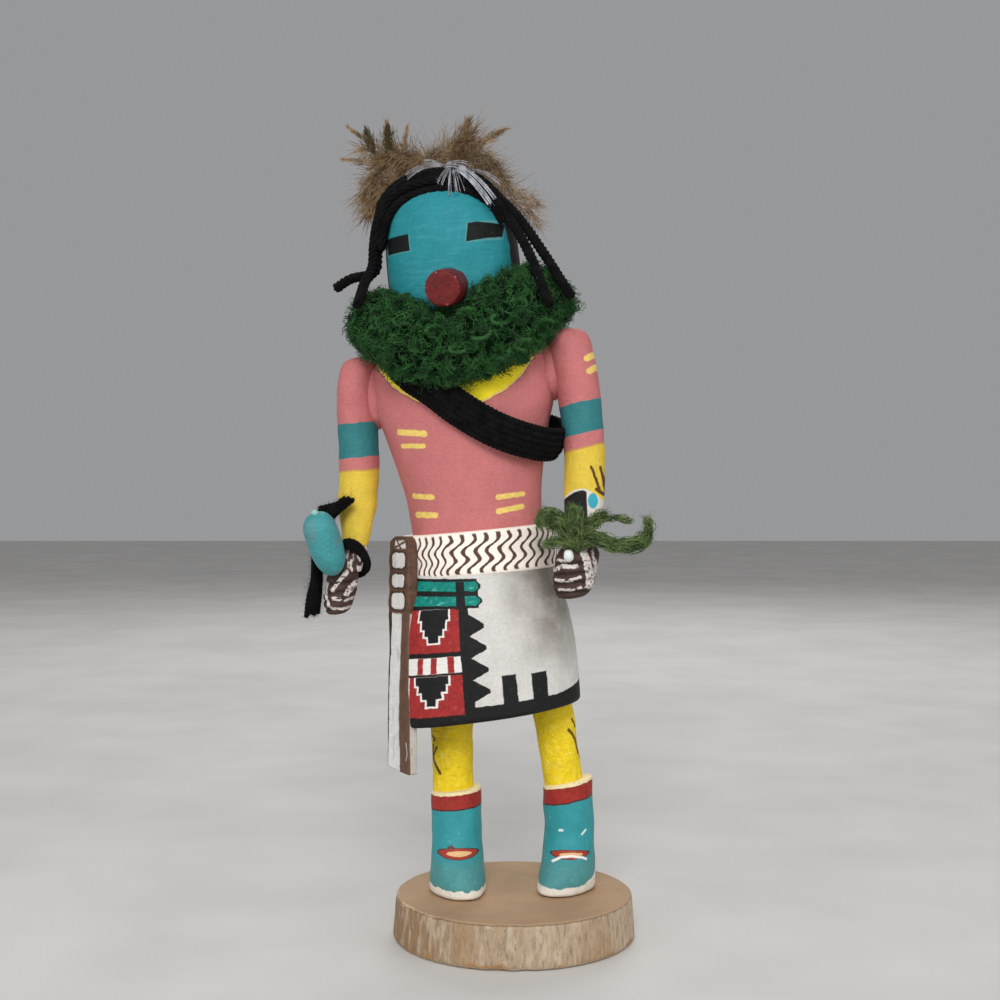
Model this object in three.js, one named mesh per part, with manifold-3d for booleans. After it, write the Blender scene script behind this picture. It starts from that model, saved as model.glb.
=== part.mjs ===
// Kachina doll: a carved and painted wooden figure, dressed in yarn and feathers, on a round wooden base.
// Millimetres, +Z up. The origin is the centre of the base's underside and the doll faces -Y.
// "Right" and "left" are the doll's own: its right hand, at -X, holds the rattle.
import * as THREE from 'three';
import { mergeVertices } from 'three/addons/utils/BufferGeometryUtils.js';
import loadManifold from 'manifold-3d';

const wasm = await loadManifold();
wasm.setup();

// ---- Driving dimensions ----

const BASE = { radius: 37, foot: 38, height: 13.3, edge: 0.6 };
const GAP = 0.3;              // air left between two pieces that touch

// The trunk leans towards the doll's right and is turned the same way, about the middle of the hem.
const HIPS = { x: -6.2, y: 4.75, z: 69.8 };
const LEAN = THREE.MathUtils.degToRad(-5.5);
const TURN = THREE.MathUtils.degToRad(-9.6);

const WAIST = { top: 127.4, bottom: 113.6, belt: 24.8, beltDepth: 18.8 };
const KILT = { hem: 69.6, width: 29.5, depth: 23.8, rise: 0.045 };
const SNOUT = { radius: 5.7, face: -16, tip: -31, x: 2.4, height: 200.3, rise: 2.2 };
const RATTLE = { length: 21.4, radius: 5.2, peg: 1.4, socket: 1.7 };

const UP = new THREE.Vector3(0, 0, 1);
const v = (x, y, z) => new THREE.Vector3(x, y, z);

// ---- Solids: building, joining and cutting ----

function signedVolume(position, index) {
  const [a, b, c] = [v(), v(), v()];
  let sum = 0;
  for (let i = 0; i < index.length; i += 3) {
    a.fromBufferAttribute(position, index[i]);
    b.fromBufferAttribute(position, index[i + 1]);
    c.fromBufferAttribute(position, index[i + 2]);
    sum += a.dot(b.cross(c)) / 6;
  }
  return sum;
}

// A closed three.js geometry as a solid, with its faces turned outward and its empty faces left out.
function solid(geometry) {
  const bare = geometry.clone();
  bare.deleteAttribute('normal');
  bare.deleteAttribute('uv');
  const merged = mergeVertices(bare, 1e-4);
  const faces = [];
  const source = merged.index.array;
  for (let i = 0; i < source.length; i += 3) {
    const [a, b, c] = [source[i], source[i + 1], source[i + 2]];
    if (a !== b && b !== c && c !== a) faces.push(a, b, c);
  }
  if (signedVolume(merged.attributes.position, faces) < 0) faces.reverse();
  return new wasm.Manifold(new wasm.Mesh({
    numProp: 3,
    vertProperties: Float32Array.from(merged.attributes.position.array),
    triVerts: Uint32Array.from(faces),
  }));
}

const join = (...parts) => parts.flat().reduce((sum, part) => sum.add(part));
const cut = (body, ...tools) => tools.flat().reduce((rest, tool) => rest.subtract(tool), body);

// The largest single body of a solid: slivers left by a cut are dropped.
function largest(body) {
  return body.decompose().reduce((best, part) => (part.volume() > best.volume() ? part : best));
}

function geometryOf(body) {
  const { vertProperties, triVerts } = body.getMesh();
  const geometry = new THREE.BufferGeometry();
  geometry.setAttribute('position', new THREE.BufferAttribute(Float32Array.from(vertProperties), 3));
  geometry.setIndex([...triVerts]);
  geometry.computeVertexNormals();
  return geometry;
}

// ---- Shapes: every limb, strap and loop is an oval section carried along a line ----

// Each ring is { at, side, front }: the section's centre and its two half axes.
// The shape is a lathe cylinder of unit radius whose rows are moved onto the rings.
function limb(rings, sides) {
  const last = rings.length - 1;
  const profile = [new THREE.Vector2(0, 0)];
  rings.forEach((ring, i) => profile.push(new THREE.Vector2(1, i)));
  profile.push(new THREE.Vector2(0, last));
  const geometry = new THREE.LatheGeometry(profile, sides);
  const position = geometry.attributes.position;
  for (let i = 0; i < position.count; i++) {
    const ring = rings[Math.round(position.getY(i))];
    const point = ring.at.clone()
      .addScaledVector(ring.side, position.getX(i))
      .addScaledVector(ring.front, position.getZ(i));
    position.setXYZ(i, point.x, point.y, point.z);
  }
  return geometry;
}

// A closed loop of the same rings: a torus whose rows are moved onto them.
function loop(rings, sides) {
  const geometry = new THREE.TorusGeometry(2, 1, sides, rings.length);
  const position = geometry.attributes.position;
  for (let j = 0; j <= sides; j++) {
    const angle = (j / sides) * Math.PI * 2;
    for (let i = 0; i <= rings.length; i++) {
      const ring = rings[i % rings.length];
      const point = ring.at.clone()
        .addScaledVector(ring.side, Math.cos(angle))
        .addScaledVector(ring.front, Math.sin(angle));
      position.setXYZ(j * (rings.length + 1) + i, point.x, point.y, point.z);
    }
  }
  return geometry;
}

// Rows of [height, half width, half depth, x, y] become level rings, with `steps` rings per gap.
function levelRings(rows, steps = 2, grow = 0) {
  const centres = rows.map(([z, , , x = 0, y = 0]) => v(x, y, z));
  const sizes = rows.map(([, a, b]) => v(a + grow, b + grow, 0));
  const line = new THREE.CatmullRomCurve3(centres, false, 'catmullrom', 0.5);
  const size = new THREE.CatmullRomCurve3(sizes, false, 'catmullrom', 0.5);
  const count = (rows.length - 1) * steps;
  return Array.from({ length: count + 1 }, (_, i) => {
    const at = line.getPoint(i / count);
    const { x: a, y: b } = size.getPoint(i / count);
    if (i === 0) at.z -= grow * Math.sign(rows.at(-1)[0] - rows[0][0]);
    if (i === count) at.z += grow * Math.sign(rows.at(-1)[0] - rows[0][0]);
    return { at, side: v(Math.max(a, 0.05), 0, 0), front: v(0, Math.max(b, 0.05), 0) };
  });
}

const carved = (rows, { sides = 32, steps = 2, grow = 0 } = {}) => limb(levelRings(rows, steps, grow), sides);

// A rope through points, with a radius at each point, and an oval section if `flat` is under 1.
function rope(points, radii, { sides = 8, steps = 4, flat = 1, grow = 0 } = {}) {
  const line = new THREE.CatmullRomCurve3(points.map((p) => v(...p)), false, 'catmullrom', 0.5);
  const size = new THREE.CatmullRomCurve3(radii.map((r) => v(r, 0, 0)), false, 'catmullrom', 0.5);
  const count = (points.length - 1) * steps;
  const rings = Array.from({ length: count + 1 }, (_, i) => {
    const along = line.getTangent(i / count);
    const side = Math.abs(along.z) > 0.9 ? v(1, 0, 0) : v().crossVectors(along, UP);
    side.addScaledVector(along, -side.dot(along)).normalize();
    const front = v().crossVectors(side, along).normalize();
    const radius = size.getPoint(i / count).x + grow;
    return {
      at: line.getPoint(i / count),
      side: side.multiplyScalar(radius),
      front: front.multiplyScalar((radius - grow) * flat + grow),
    };
  });
  return limb(rings, sides);
}

// A flat strap closed round a core: `points` run along it, and `core` gives the middle it wraps.
function strap(points, core, { width, thickness, count = 36, sides = 8, grow = 0 }) {
  const line = new THREE.CatmullRomCurve3(points.map((p) => v(...p)), true, 'catmullrom', 0.5);
  const rings = Array.from({ length: count }, (_, i) => {
    const at = line.getPoint(i / count);
    const along = line.getTangent(i / count);
    const outward = at.clone().sub(core);
    outward.addScaledVector(along, -outward.dot(along)).normalize();
    const across = v().crossVectors(along, outward).normalize();
    return {
      at,
      side: across.multiplyScalar(width / 2 + grow),
      front: outward.multiplyScalar(thickness / 2 + grow),
    };
  });
  return loop(rings, sides);
}

function ball(at, radii, sides = 12, rows = 8) {
  const geometry = new THREE.SphereGeometry(1, sides, rows);
  return geometry.rotateX(Math.PI / 2).scale(...radii).translate(...at);
}

// A round peg from one point to another.
function peg(from, to, radius, sides = 14, endRadius = radius) {
  const [a, b] = [v(...from), v(...to)];
  const geometry = new THREE.CylinderGeometry(endRadius, radius, a.distanceTo(b), sides);
  const spin = new THREE.Quaternion().setFromUnitVectors(v(0, 1, 0), b.clone().sub(a).normalize());
  return geometry.applyQuaternion(spin).translate(...a.add(b).multiplyScalar(0.5).toArray());
}

// The frame of the leaning trunk: heights in it are heights along the trunk.
const trunkFrame = new THREE.Matrix4().makeTranslation(HIPS.x, HIPS.y, HIPS.z)
  .multiply(new THREE.Matrix4().makeRotationY(LEAN))
  .multiply(new THREE.Matrix4().makeRotationZ(TURN))
  .multiply(new THREE.Matrix4().makeTranslation(0, 0, -HIPS.z));
const onTrunk = (geometry) => solid(geometry.applyMatrix4(trunkFrame));

// ---- The carved figure ----
// Rows are [height, half width, half depth, x, y].

const TORSO_ROWS = [
  [112, 20.6, 14.6], [128, 20.8, 14.8], [137, 21.4, 15.2], [149, 23.7, 16.2], [159, 26.2, 17.0],
  [168, 28.6, 17.0], [177, 28.8, 15.6], [184, 26.5, 12.8], [188.5, 20, 8.5],
];
const KILT_ROWS = [
  [KILT.hem, KILT.width - 0.8, KILT.depth - 0.8, -1.8], [KILT.hem + 1.2, KILT.width, KILT.depth, -1.8],
  [78, 29.6, 23.6, -1.6], [88, 29.5, 23.0, -1.5], [100, 28.2, 21.4, -1.5], [110, 25.6, 19.2, -1.2], [118, 24, 17.8, -0.6],
];
const BELT_ROWS = [
  [WAIST.bottom, WAIST.belt - 1, WAIST.beltDepth - 1], [WAIST.bottom + 1, WAIST.belt, WAIST.beltDepth],
  [WAIST.top - 1, WAIST.belt, WAIST.beltDepth - 0.6], [WAIST.top, WAIST.belt - 1, WAIST.beltDepth - 1.6],
];
const HEAD_ROWS = [
  [182, 12, 11, 0.6, 0], [190, 15.5, 14, 0.6, 0], [196, 20.2, 18.6, 0.6, 0], [204, 21.2, 19.6, 0.6, 0],
  [214, 21.1, 19.6, 0.6, 0], [223, 20.1, 18.8, 0.6, 0], [229, 18.4, 17.4, 0.6, 0.2],
  [233.6, 15.4, 14.8, 0.6, 0.5], [236.8, 10.8, 10.4, 0.6, 0.7], [238.4, 5, 5, 0.6, 0.8], [238.8, 0.6, 0.6, 0.6, 0.8],
];
const LEFT_ARM_ROWS = [
  [187.4, 3, 3.6, 34, 1], [186, 5.6, 6, 34.6, 0.8], [182, 6.9, 7.7, 34.9, 0.2],
  [174, 7.0, 8.2, 35.8, 0], [162, 6.6, 7.4, 36.6, 0], [148, 6.4, 6.8, 36.6, -1.4], [139, 6.2, 6.2, 36.3, -4.6],
  [131, 5.0, 5.2, 35.4, -9], [126, 4.4, 4.6, 34.8, -11.6], [119, 4.4, 4.4, 33.8, -14.4],
];
const RIGHT_ARM_ROWS = [
  [185.8, 3, 3.6, -31.6, 1], [184.4, 5.6, 6, -32.4, 0.8], [181, 6.4, 7.6, -33.2, 0.2],
  [174, 6.4, 8.0, -34.7, 0], [162, 6.4, 7.4, -35.5, 0], [148, 6.4, 6.8, -36.2, -1.4], [139, 6.2, 6.2, -36.8, -4.6],
  [131, 4.8, 5.0, -36.8, -8.6], [126, 4.2, 4.4, -37.2, -10.8], [118, 4.0, 4.2, -39.4, -13.4],
];

// The kilt's hem rises a little towards the doll's left, and the rise dies out at the belt.
function risingHem(geometry) {
  const position = geometry.attributes.position;
  for (let i = 0; i < position.count; i++) {
    const free = (WAIST.bottom - position.getZ(i)) / (WAIST.bottom - KILT.hem);
    position.setZ(i, position.getZ(i) + KILT.rise * position.getX(i) * Math.max(free, 0));
  }
  return geometry;
}

// A closed hand seen from the front: wrist, knuckles, and the curled fingers' ends.
function fist({ x, y, top, width, depth, height, drift }, grow = 0) {
  const row = (part, a, b) => [top - height * part, width * a, depth * b, x + drift * part, y - part * 2];
  const rows = [row(-0.2, 0.6, 0.6), row(0, 0.8, 0.76), row(0.2, 1, 1), row(0.45, 1.02, 1.02), row(0.68, 0.98, 0.98),
    row(0.9, 0.78, 0.8), row(1, 0.45, 0.5)];
  return carved(rows, { sides: 12, steps: 1, grow });
}

const RIGHT_FIST = { x: -40, y: -14, top: 119.6, width: 4.8, depth: 5.6, height: 14.6, drift: -3.2 };
const LEFT_FIST = { x: 34, y: -14.6, top: 120, width: 6.6, depth: 6.2, height: 15.6, drift: -3.4 };

// The grooves between the fingers run level round the front of the fist.
function fingerGrooves({ x, y, top, width, depth, height, drift }) {
  return [0.3, 0.5, 0.7].map((part) => {
    const groove = new THREE.TorusGeometry(1, 0.1, 3, 8);
    groove.scale(width + 0.25, depth + 0.25, 7);
    return onTrunk(groove.translate(x + drift * part, y - part * 2, top - height * part));
  });
}

const LEG_DEPTH = HIPS.y + 1.55;
const RIGHT_LEG = [{ x: -20.2, z: 80, radius: 7.0 }, { x: -19.1, z: 40, radius: 6.3 }];
const LEFT_LEG = [{ x: 10.8, z: 80, radius: 6.8 }, { x: 16.6, z: 42, radius: 6.0 }];

function leg(ends, grow = 0) {
  const rows = ends.map(({ x, z, radius }) => [z, radius, radius + 0.1, x, LEG_DEPTH]);
  return solid(carved(rows, { sides: 14, steps: 2, grow }));
}

// A moccasin: a tall ankle on a foot that runs forward to a blunt toe, `turn` degrees outward.
// Its rim rises towards the doll's left by `tilt`, and `ankle` is the rim's middle.
function moccasin({ x, y, rim, turn, tilt, ankle }, grow = 0) {
  const sole = BASE.height + GAP;
  const rows = [
    [sole, 8.1, 13.2, 0, -1.2], [sole + 1, 8.8, 13.9, 0, -1.2], [sole + 5, 8.7, 13.4, 0, -0.9],
    [sole + 9, 8.3, 11.8, 0, 0.3], [sole + 13, 8.1, 9.8, 0, 2], [sole + 18, 7.9, 8.6, 0, 2.9],
    [rim - 1, 7.9, 8.1, ...ankle], [rim, 7.4, 7.6, ...ankle],
  ];
  const geometry = carved(rows, { sides: 16, steps: 1, grow });
  const position = geometry.attributes.position;
  for (let i = 0; i < position.count; i++) {
    const share = Math.max(position.getZ(i) - sole - 13, 0) / (rim - sole - 13);
    position.setZ(i, position.getZ(i) + tilt * position.getX(i) * share);
  }
  return solid(geometry.rotateZ(THREE.MathUtils.degToRad(turn)).translate(x, y, 0));
}

const RIGHT_FOOT = { x: -18.3, y: 1.4, rim: 44.9, turn: 3, tilt: 0.1, ankle: [0, 3.9] };
const LEFT_FOOT = { x: 17.2, y: 4.4, rim: 47.2, turn: -11, tilt: 0.2, ankle: [-0.6, 2.6] };

function grip() {
  const hand = v(RIGHT_FIST.x + RIGHT_FIST.drift * 0.4, RIGHT_FIST.y - 2.2, RIGHT_FIST.top - 9);
  const axis = v(-1.8, -7.4, 17).normalize();
  const along = (distance) => hand.clone().addScaledVector(axis, distance).toArray();
  return { hand, axis, along };
}

function trunkParts(grow) {
  return [
    onTrunk(carved(TORSO_ROWS, { sides: 24, steps: 1, grow })),
    onTrunk(risingHem(carved(KILT_ROWS, { sides: 28, steps: 1, grow }))),
    onTrunk(carved(BELT_ROWS, { sides: 28, steps: 1, grow })),
    onTrunk(carved(HEAD_ROWS, { sides: 22, steps: 1, grow })),
    onTrunk(carved(RIGHT_ARM_ROWS, { sides: 12, steps: 1, grow })),
    onTrunk(carved(LEFT_ARM_ROWS, { sides: 12, steps: 1, grow })),
    onTrunk(fist(RIGHT_FIST, grow)),
    onTrunk(fist(LEFT_FIST, grow)),
  ];
}

function legParts(grow) {
  return [
    leg(RIGHT_LEG, grow),
    leg(LEFT_LEG, grow),
    moccasin(RIGHT_FOOT, grow),
    moccasin(LEFT_FOOT, grow),
  ];
}

// The end of the left thumb, in front of the curled fingers.
const thumb = (grow = 0) => onTrunk(ball([31.6, -21.4, 117.6], [1.7 + grow, 1.5 + grow, 2 + grow], 8, 6));

function figure() {
  const whole = join(trunkParts(0), legParts(0), thumb());
  const { along } = grip();
  const socket = onTrunk(peg(along(-2.4), along(14), RATTLE.socket, 10));
  return cut(whole, fingerGrooves(RIGHT_FIST), fingerGrooves(LEFT_FIST), socket, rattle(GAP));
}

// The figure a little larger all round: what is laid on it is cut back to this.
const clearance = join(trunkParts(GAP), legParts(GAP), thumb(GAP));

// ---- The base ----

function base() {
  const { radius, foot, height, edge } = BASE;
  const profile = [[0, 0], [foot - edge, 0], [foot, edge], [radius, height - edge], [radius - edge, height],
    [0, height]];
  const points = profile.map(([r, z]) => new THREE.Vector2(r, z));
  return solid(new THREE.LatheGeometry(points, 56).rotateX(Math.PI / 2));
}

// ---- Carved pieces glued on ----

// The sash: a long flat slat at the right hip, hanging from the belt to below the hem.
const SASH = { width: 11.4, thickness: 3.4, turn: 46, top: [-20.6, -11.2, 127.4], bottom: [-28.0, -16.2, 54.2] };

function sash() {
  const [top, bottom] = [v(...SASH.top), v(...SASH.bottom)];
  const length = top.distanceTo(bottom);
  const slat = new THREE.Shape();
  const half = SASH.width / 2;
  slat.moveTo(-half, 0);
  slat.lineTo(half, -1.2);
  slat.lineTo(half, length - 3);
  slat.quadraticCurveTo(half, length, 0, length);
  slat.quadraticCurveTo(-half, length, -half, length - 3);
  slat.closePath();
  const geometry = new THREE.ExtrudeGeometry(slat, { depth: SASH.thickness, bevelEnabled: false, curveSegments: 4 });
  geometry.rotateX(Math.PI / 2).rotateZ(THREE.MathUtils.degToRad(-SASH.turn));
  const spin = new THREE.Quaternion().setFromUnitVectors(UP, top.clone().sub(bottom).normalize());
  geometry.applyQuaternion(spin).translate(...bottom.toArray());
  return largest(cut(onTrunk(geometry), clearance));
}

function snout() {
  const from = [SNOUT.x, SNOUT.face, SNOUT.height + SNOUT.rise];
  const to = [SNOUT.x, SNOUT.tip, SNOUT.height];
  const rim = [SNOUT.x, SNOUT.tip + 0.9, SNOUT.height + 0.12];
  const tube = join(onTrunk(peg(from, rim, SNOUT.radius, 18, SNOUT.radius * 0.98)),
    onTrunk(peg(rim, to, SNOUT.radius * 0.98, 18, SNOUT.radius - 0.8)));
  return largest(cut(tube, clearance));
}

// The rattle: a gourd on a handle that goes down into the right fist. Grown, it is the gourd alone.
function rattle(grow = 0) {
  const { along, axis } = grip();
  const half = RATTLE.length / 2 + grow;
  const middle = 18.8;
  const rows = 10;
  const profile = Array.from({ length: rows + 1 }, (_, i) => {
    const t = i / rows;
    const swell = Math.sin(Math.PI * t) ** 0.62 * (1 + 0.12 * Math.cos(Math.PI * t));
    const radius = (RATTLE.radius * swell) / 1.02 + grow;
    return new THREE.Vector2(i === 0 || i === rows ? 0 : radius, half * (2 * t - 1));
  });
  const gourd = new THREE.LatheGeometry(profile, 14);
  gourd.applyQuaternion(new THREE.Quaternion().setFromUnitVectors(v(0, 1, 0), axis)).translate(...along(middle));
  if (grow) return onTrunk(gourd);
  const tip = peg(along(middle + half - 1), along(middle + half + 0.9), 0.9, 8, 0.6);
  const handle = peg(along(-2), along(middle - half + 2), RATTLE.peg, 10);
  return join(onTrunk(gourd), onTrunk(tip), onTrunk(handle));
}

// ---- Yarn ----

const HAIR_BAND = [[-24, -7.4, 209], [-21.6, -7.2, 217.7], [-19.8, -7.6, 224.8], [-16.2, -8.8, 230.6], [-9, -11, 233.8],
  [0.8, -12, 234.6], [10.4, -11.4, 233], [17.2, -9.8, 228], [22.2, -9, 220.4], [26.2, -9.4, 210.6]];
const HAIR_SIZES = [2.4, 2.4, 2.7, 3.4, 4.2, 4.4, 4.3, 4.1, 3.8, 3.4];
const HAIR_LOCKS = [
  [[-23.6, -8, 212], [-26, -16.4, 206], [-25.4, -21.8, 199]],
  [[-23.6, -7.6, 212], [-30.2, -10, 208.6], [-36.4, -8, 207.3]],
  [[25.6, -9.4, 211], [29.6, -14.4, 202], [32, -19, 192.8]],
  [[25.6, -9.4, 211], [33.4, -12, 202], [38.6, -13, 195.5]],
];

const hairParts = (grow = 0) => [
  rope(HAIR_BAND, HAIR_SIZES, { sides: 7, steps: 1, grow }),
  ...HAIR_LOCKS.map((points) => rope(points, [2, 1.8, 1.5], { sides: 5, steps: 2, grow })),
].map(onTrunk);

const BANDOLIER = [
  [-13.8, -14.8, 178], [-5.8, -18.2, 171.8], [2, -19, 164.8], [12.2, -18.6, 157.6], [21.7, -14.5, 153], [27.6, -6, 151.4],
  [29.0, 2, 153], [24.6, 11.5, 156], [12, 17.5, 161], [-2, 18.2, 168], [-12, 15, 177], [-16.5, 9, 186],
  [-19, 0, 190], [-19.2, -7.6, 184],
];
const bandolierLoop = (grow = 0) => onTrunk(strap(BANDOLIER, v(0, 0, 168),
  { width: 11, thickness: 4.6, count: 22, sides: 6, grow }));

// The ruff: a thick ring of green yarn round the neck, lower and taller at the front.
const RUFF = { width: 27, depth: 20.4, tube: 9.4, height: 12, middle: 197.5, droop: 13.5, thin: 4.4, sink: 3.5 };

function ruffLoop(grow = 0) {
  const count = 20;
  const rings = Array.from({ length: count }, (_, i) => {
    const angle = (i / count) * Math.PI * 2;
    const [c, s] = [Math.cos(angle), Math.sin(angle)];
    const bulge = 1 + 0.05 * Math.sin(5 * angle) + 0.04 * Math.cos(3 * angle);
    const fall = Math.min(s, 0.25) * (s < 0 ? Math.abs(s) : 1) * RUFF.droop;
    const behind = 1 - Math.sqrt(Math.max(-s, 0));
    return {
      at: v(1.1 + RUFF.width * c, RUFF.depth * s, RUFF.middle + fall - RUFF.sink * behind),
      side: v(c * RUFF.tube * bulge, s * RUFF.tube * bulge, 0).addScaledVector(v(c, s, 0), grow),
      front: v(0, 0, (RUFF.height - RUFF.thin * behind) * bulge + grow),
    };
  });
  return onTrunk(loop(rings, 8));
}

const TASSEL = [[-38.4, -15.6, 141.5], [-42, -16.6, 138.4], [-46.6, -15, 132], [-48.8, -14, 124], [-49.8, -14, 115],
  [-51.8, -14.6, 105.5]];
const tassel = () => onTrunk(rope(TASSEL, [2.2, 3.4, 2.8, 2.2, 2.6, 1.8], { sides: 8, steps: 2 }));

function wristband(grow = 0) {
  const ring = new THREE.TorusGeometry(5.4, 1.5 + grow, 5, 12);
  ring.scale(1, 1.05, 1.1).rotateX(-0.35).rotateY(0.5).translate(-38, -11.6, 123);
  return onTrunk(ring);
}

const SPRIG_STEMS = [
  { points: [[34.2, -19.6, 118.5], [35, -21.5, 124], [35.4, -22, 131.4]], radii: [2.2, 3, 1.8] },
  { points: [[34.6, -21, 124], [29.4, -22, 127], [23.8, -22, 130.8]], radii: [2.6, 3.4, 1.8] },
  { points: [[35, -21.4, 123], [42.4, -22, 122], [49.1, -21, 119.6], [56.6, -20, 122.6]], radii: [2.8, 3.2, 2.8, 1.5] },
  { points: [[36, -22, 127], [44, -22.4, 127.6], [51.6, -22, 126.2]], radii: [2.4, 2, 1] },
];
const sprigParts = () => SPRIG_STEMS.map(({ points, radii }) => onTrunk(rope(points, radii, { sides: 6, steps: 1 })));

// ---- Feathers ----

// A feather: a thin flat leaf from its root to its tip.
function feather(root, tip, width, thickness = 1.1) {
  const [a, b] = [v(...root), v(...tip)];
  const points = [a, a.clone().lerp(b, 0.5), b].map((p) => p.toArray());
  return rope(points, [width * 0.3, width / 2, width * 0.2], { sides: 4, steps: 1, flat: (2 * thickness) / width });
}

// Rows are each feather's tip and its width: [x, y, z, width].
const CREST = [
  [-27.4, 2, 256, 14], [-17, 0.5, 257, 14], [-7, 3, 256.4, 15], [3, 1, 254.6, 15], [12, 2, 255, 14],
  [21, 4, 250, 14], [29, 8, 238, 14], [-31.4, 4, 246, 15], [-30, 6, 233, 14],
];

function crest() {
  const core = onTrunk(ball([-2, 4, 242.5], [21, 6.5, 8.5], 9, 5));
  const leaves = CREST.map(([x, y, z, width]) => {
    const root = [x * 0.3, 3 + y * 0.2, 240];
    return onTrunk(feather(root, [x, y, z], width, 1.8));
  });
  return join(core, leaves);
}

function whiteFeather() {
  const root = [2.4, -14.6, 241.6];
  return join([
    feather(root, [6, -18.2, 230.6], 5),
    feather(root, [18.6, -15.6, 226.6], 4.6),
    feather(root, [-13.4, -13.4, 238], 3),
  ].map(onTrunk));
}

// ---- The doll, piece by piece ----

const doll = new THREE.Group();
doll.name = 'kachina_doll';

function piece(name, body, color, roughness = 0.8) {
  const material = new THREE.MeshStandardMaterial({ color, roughness, metalness: 0 });
  material.name = name;
  const mesh = new THREE.Mesh(geometryOf(body), material);
  mesh.name = name;
  doll.add(mesh);
  return mesh;
}

const hairClear = join(hairParts(GAP));
const bandClear = bandolierLoop(GAP);
const rattleBody = rattle();
const snoutClear = onTrunk(peg([SNOUT.x, SNOUT.face, SNOUT.height + SNOUT.rise],
  [SNOUT.x, SNOUT.tip - 2, SNOUT.height - GAP], SNOUT.radius + GAP, 18));

piece('base', base(), 0xa68e72, 0.85);
piece('figure', figure(), 0xc37976, 0.7);
piece('sash', sash(), 0xd0cdcb, 0.7);
piece('snout', snout(), 0x732b29, 0.6);
piece('rattle', rattleBody, 0x4b8080, 0.6);
piece('hair', largest(cut(join(hairParts()), clearance)), 0x141414, 0.95);
piece('bandolier', largest(cut(bandolierLoop(), clearance)), 0x141414, 0.95);
piece('ruff', largest(cut(ruffLoop(), clearance, hairClear, bandClear, snoutClear)), 0x1a3f1c, 0.95);
piece('wristband', largest(cut(wristband(), clearance)), 0x151515, 0.95);
piece('hand_tassel', largest(cut(tassel(), clearance, wristband(GAP))), 0x151515, 0.95);
piece('sprig', largest(cut(join(sprigParts()), clearance)), 0x364b2b, 0.95);
piece('crest_feathers', largest(cut(crest(), clearance, hairClear)), 0x60503b, 0.9);
piece('white_feather', largest(cut(whiteFeather(), clearance, hairClear)), 0x9e9991, 0.9);

export default doll;
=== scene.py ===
import math

import bpy
import numpy as np
from mathutils import Matrix, Vector


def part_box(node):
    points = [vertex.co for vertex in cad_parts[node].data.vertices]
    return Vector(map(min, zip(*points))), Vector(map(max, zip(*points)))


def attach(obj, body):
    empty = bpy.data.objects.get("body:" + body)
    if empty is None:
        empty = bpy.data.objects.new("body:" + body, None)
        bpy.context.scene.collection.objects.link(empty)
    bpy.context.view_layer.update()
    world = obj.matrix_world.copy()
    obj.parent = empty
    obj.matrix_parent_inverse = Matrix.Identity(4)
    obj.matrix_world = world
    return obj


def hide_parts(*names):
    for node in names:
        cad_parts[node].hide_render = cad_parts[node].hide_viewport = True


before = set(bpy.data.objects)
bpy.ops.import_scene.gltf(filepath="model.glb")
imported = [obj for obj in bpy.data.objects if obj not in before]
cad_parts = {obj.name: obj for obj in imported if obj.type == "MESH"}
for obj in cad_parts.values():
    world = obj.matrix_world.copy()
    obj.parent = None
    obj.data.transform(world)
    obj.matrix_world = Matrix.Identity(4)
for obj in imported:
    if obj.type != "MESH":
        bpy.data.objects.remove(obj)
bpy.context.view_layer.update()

# A kachina doll: carved and painted wood, dressed in yarn and feathers, on a round wooden base.
# Lengths are in millimetres until a mesh is made. The doll faces -Y, and its right is -X.

MM = 0.001
UP = np.array([0.0, 0.0, 1.0])

# ---- The leaning trunk's frame: heights in it are heights along the trunk ----

HIPS = Vector((-6.2, 4.75, 69.8))
LEAN = math.radians(-5.5)
TURN = math.radians(-9.6)
TRUNK = (
    Matrix.Translation(HIPS * MM)
    @ Matrix.Rotation(LEAN, 4, "Y")
    @ Matrix.Rotation(TURN, 4, "Z")
    @ Matrix.Translation(Vector((0, 0, -HIPS.z * MM)))
)
WORLD = Matrix.Identity(4)


# ---- Numbers ----

def smooth_through(knots, values, at):
    """A cubic through (knots, values), read at `at`, that never swings past a value."""
    step = np.diff(knots)
    slope = np.diff(values, axis=0) / step[:, None]
    before, after = slope[:-1], slope[1:]
    near, far = (2 * step[1:] + step[:-1])[:, None], (step[1:] + 2 * step[:-1])[:, None]
    with np.errstate(divide="ignore", invalid="ignore"):
        mean = (near + far) / (near / before + far / after)
    inner = np.where(before * after > 0, mean, 0.0)
    tangent = np.vstack([slope[:1], inner, slope[-1:]])
    i = np.clip(np.searchsorted(knots, at, side="right") - 1, 0, len(step) - 1)
    t = ((at - knots[i]) / step[i])[:, None]
    wide = step[i][:, None]
    return (
        (2 * t**3 - 3 * t**2 + 1) * values[i]
        + (t**3 - 2 * t**2 + t) * wide * tangent[i]
        + (3 * t**2 - 2 * t**3) * values[i + 1]
        + (t**3 - t**2) * wide * tangent[i + 1]
    )


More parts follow.
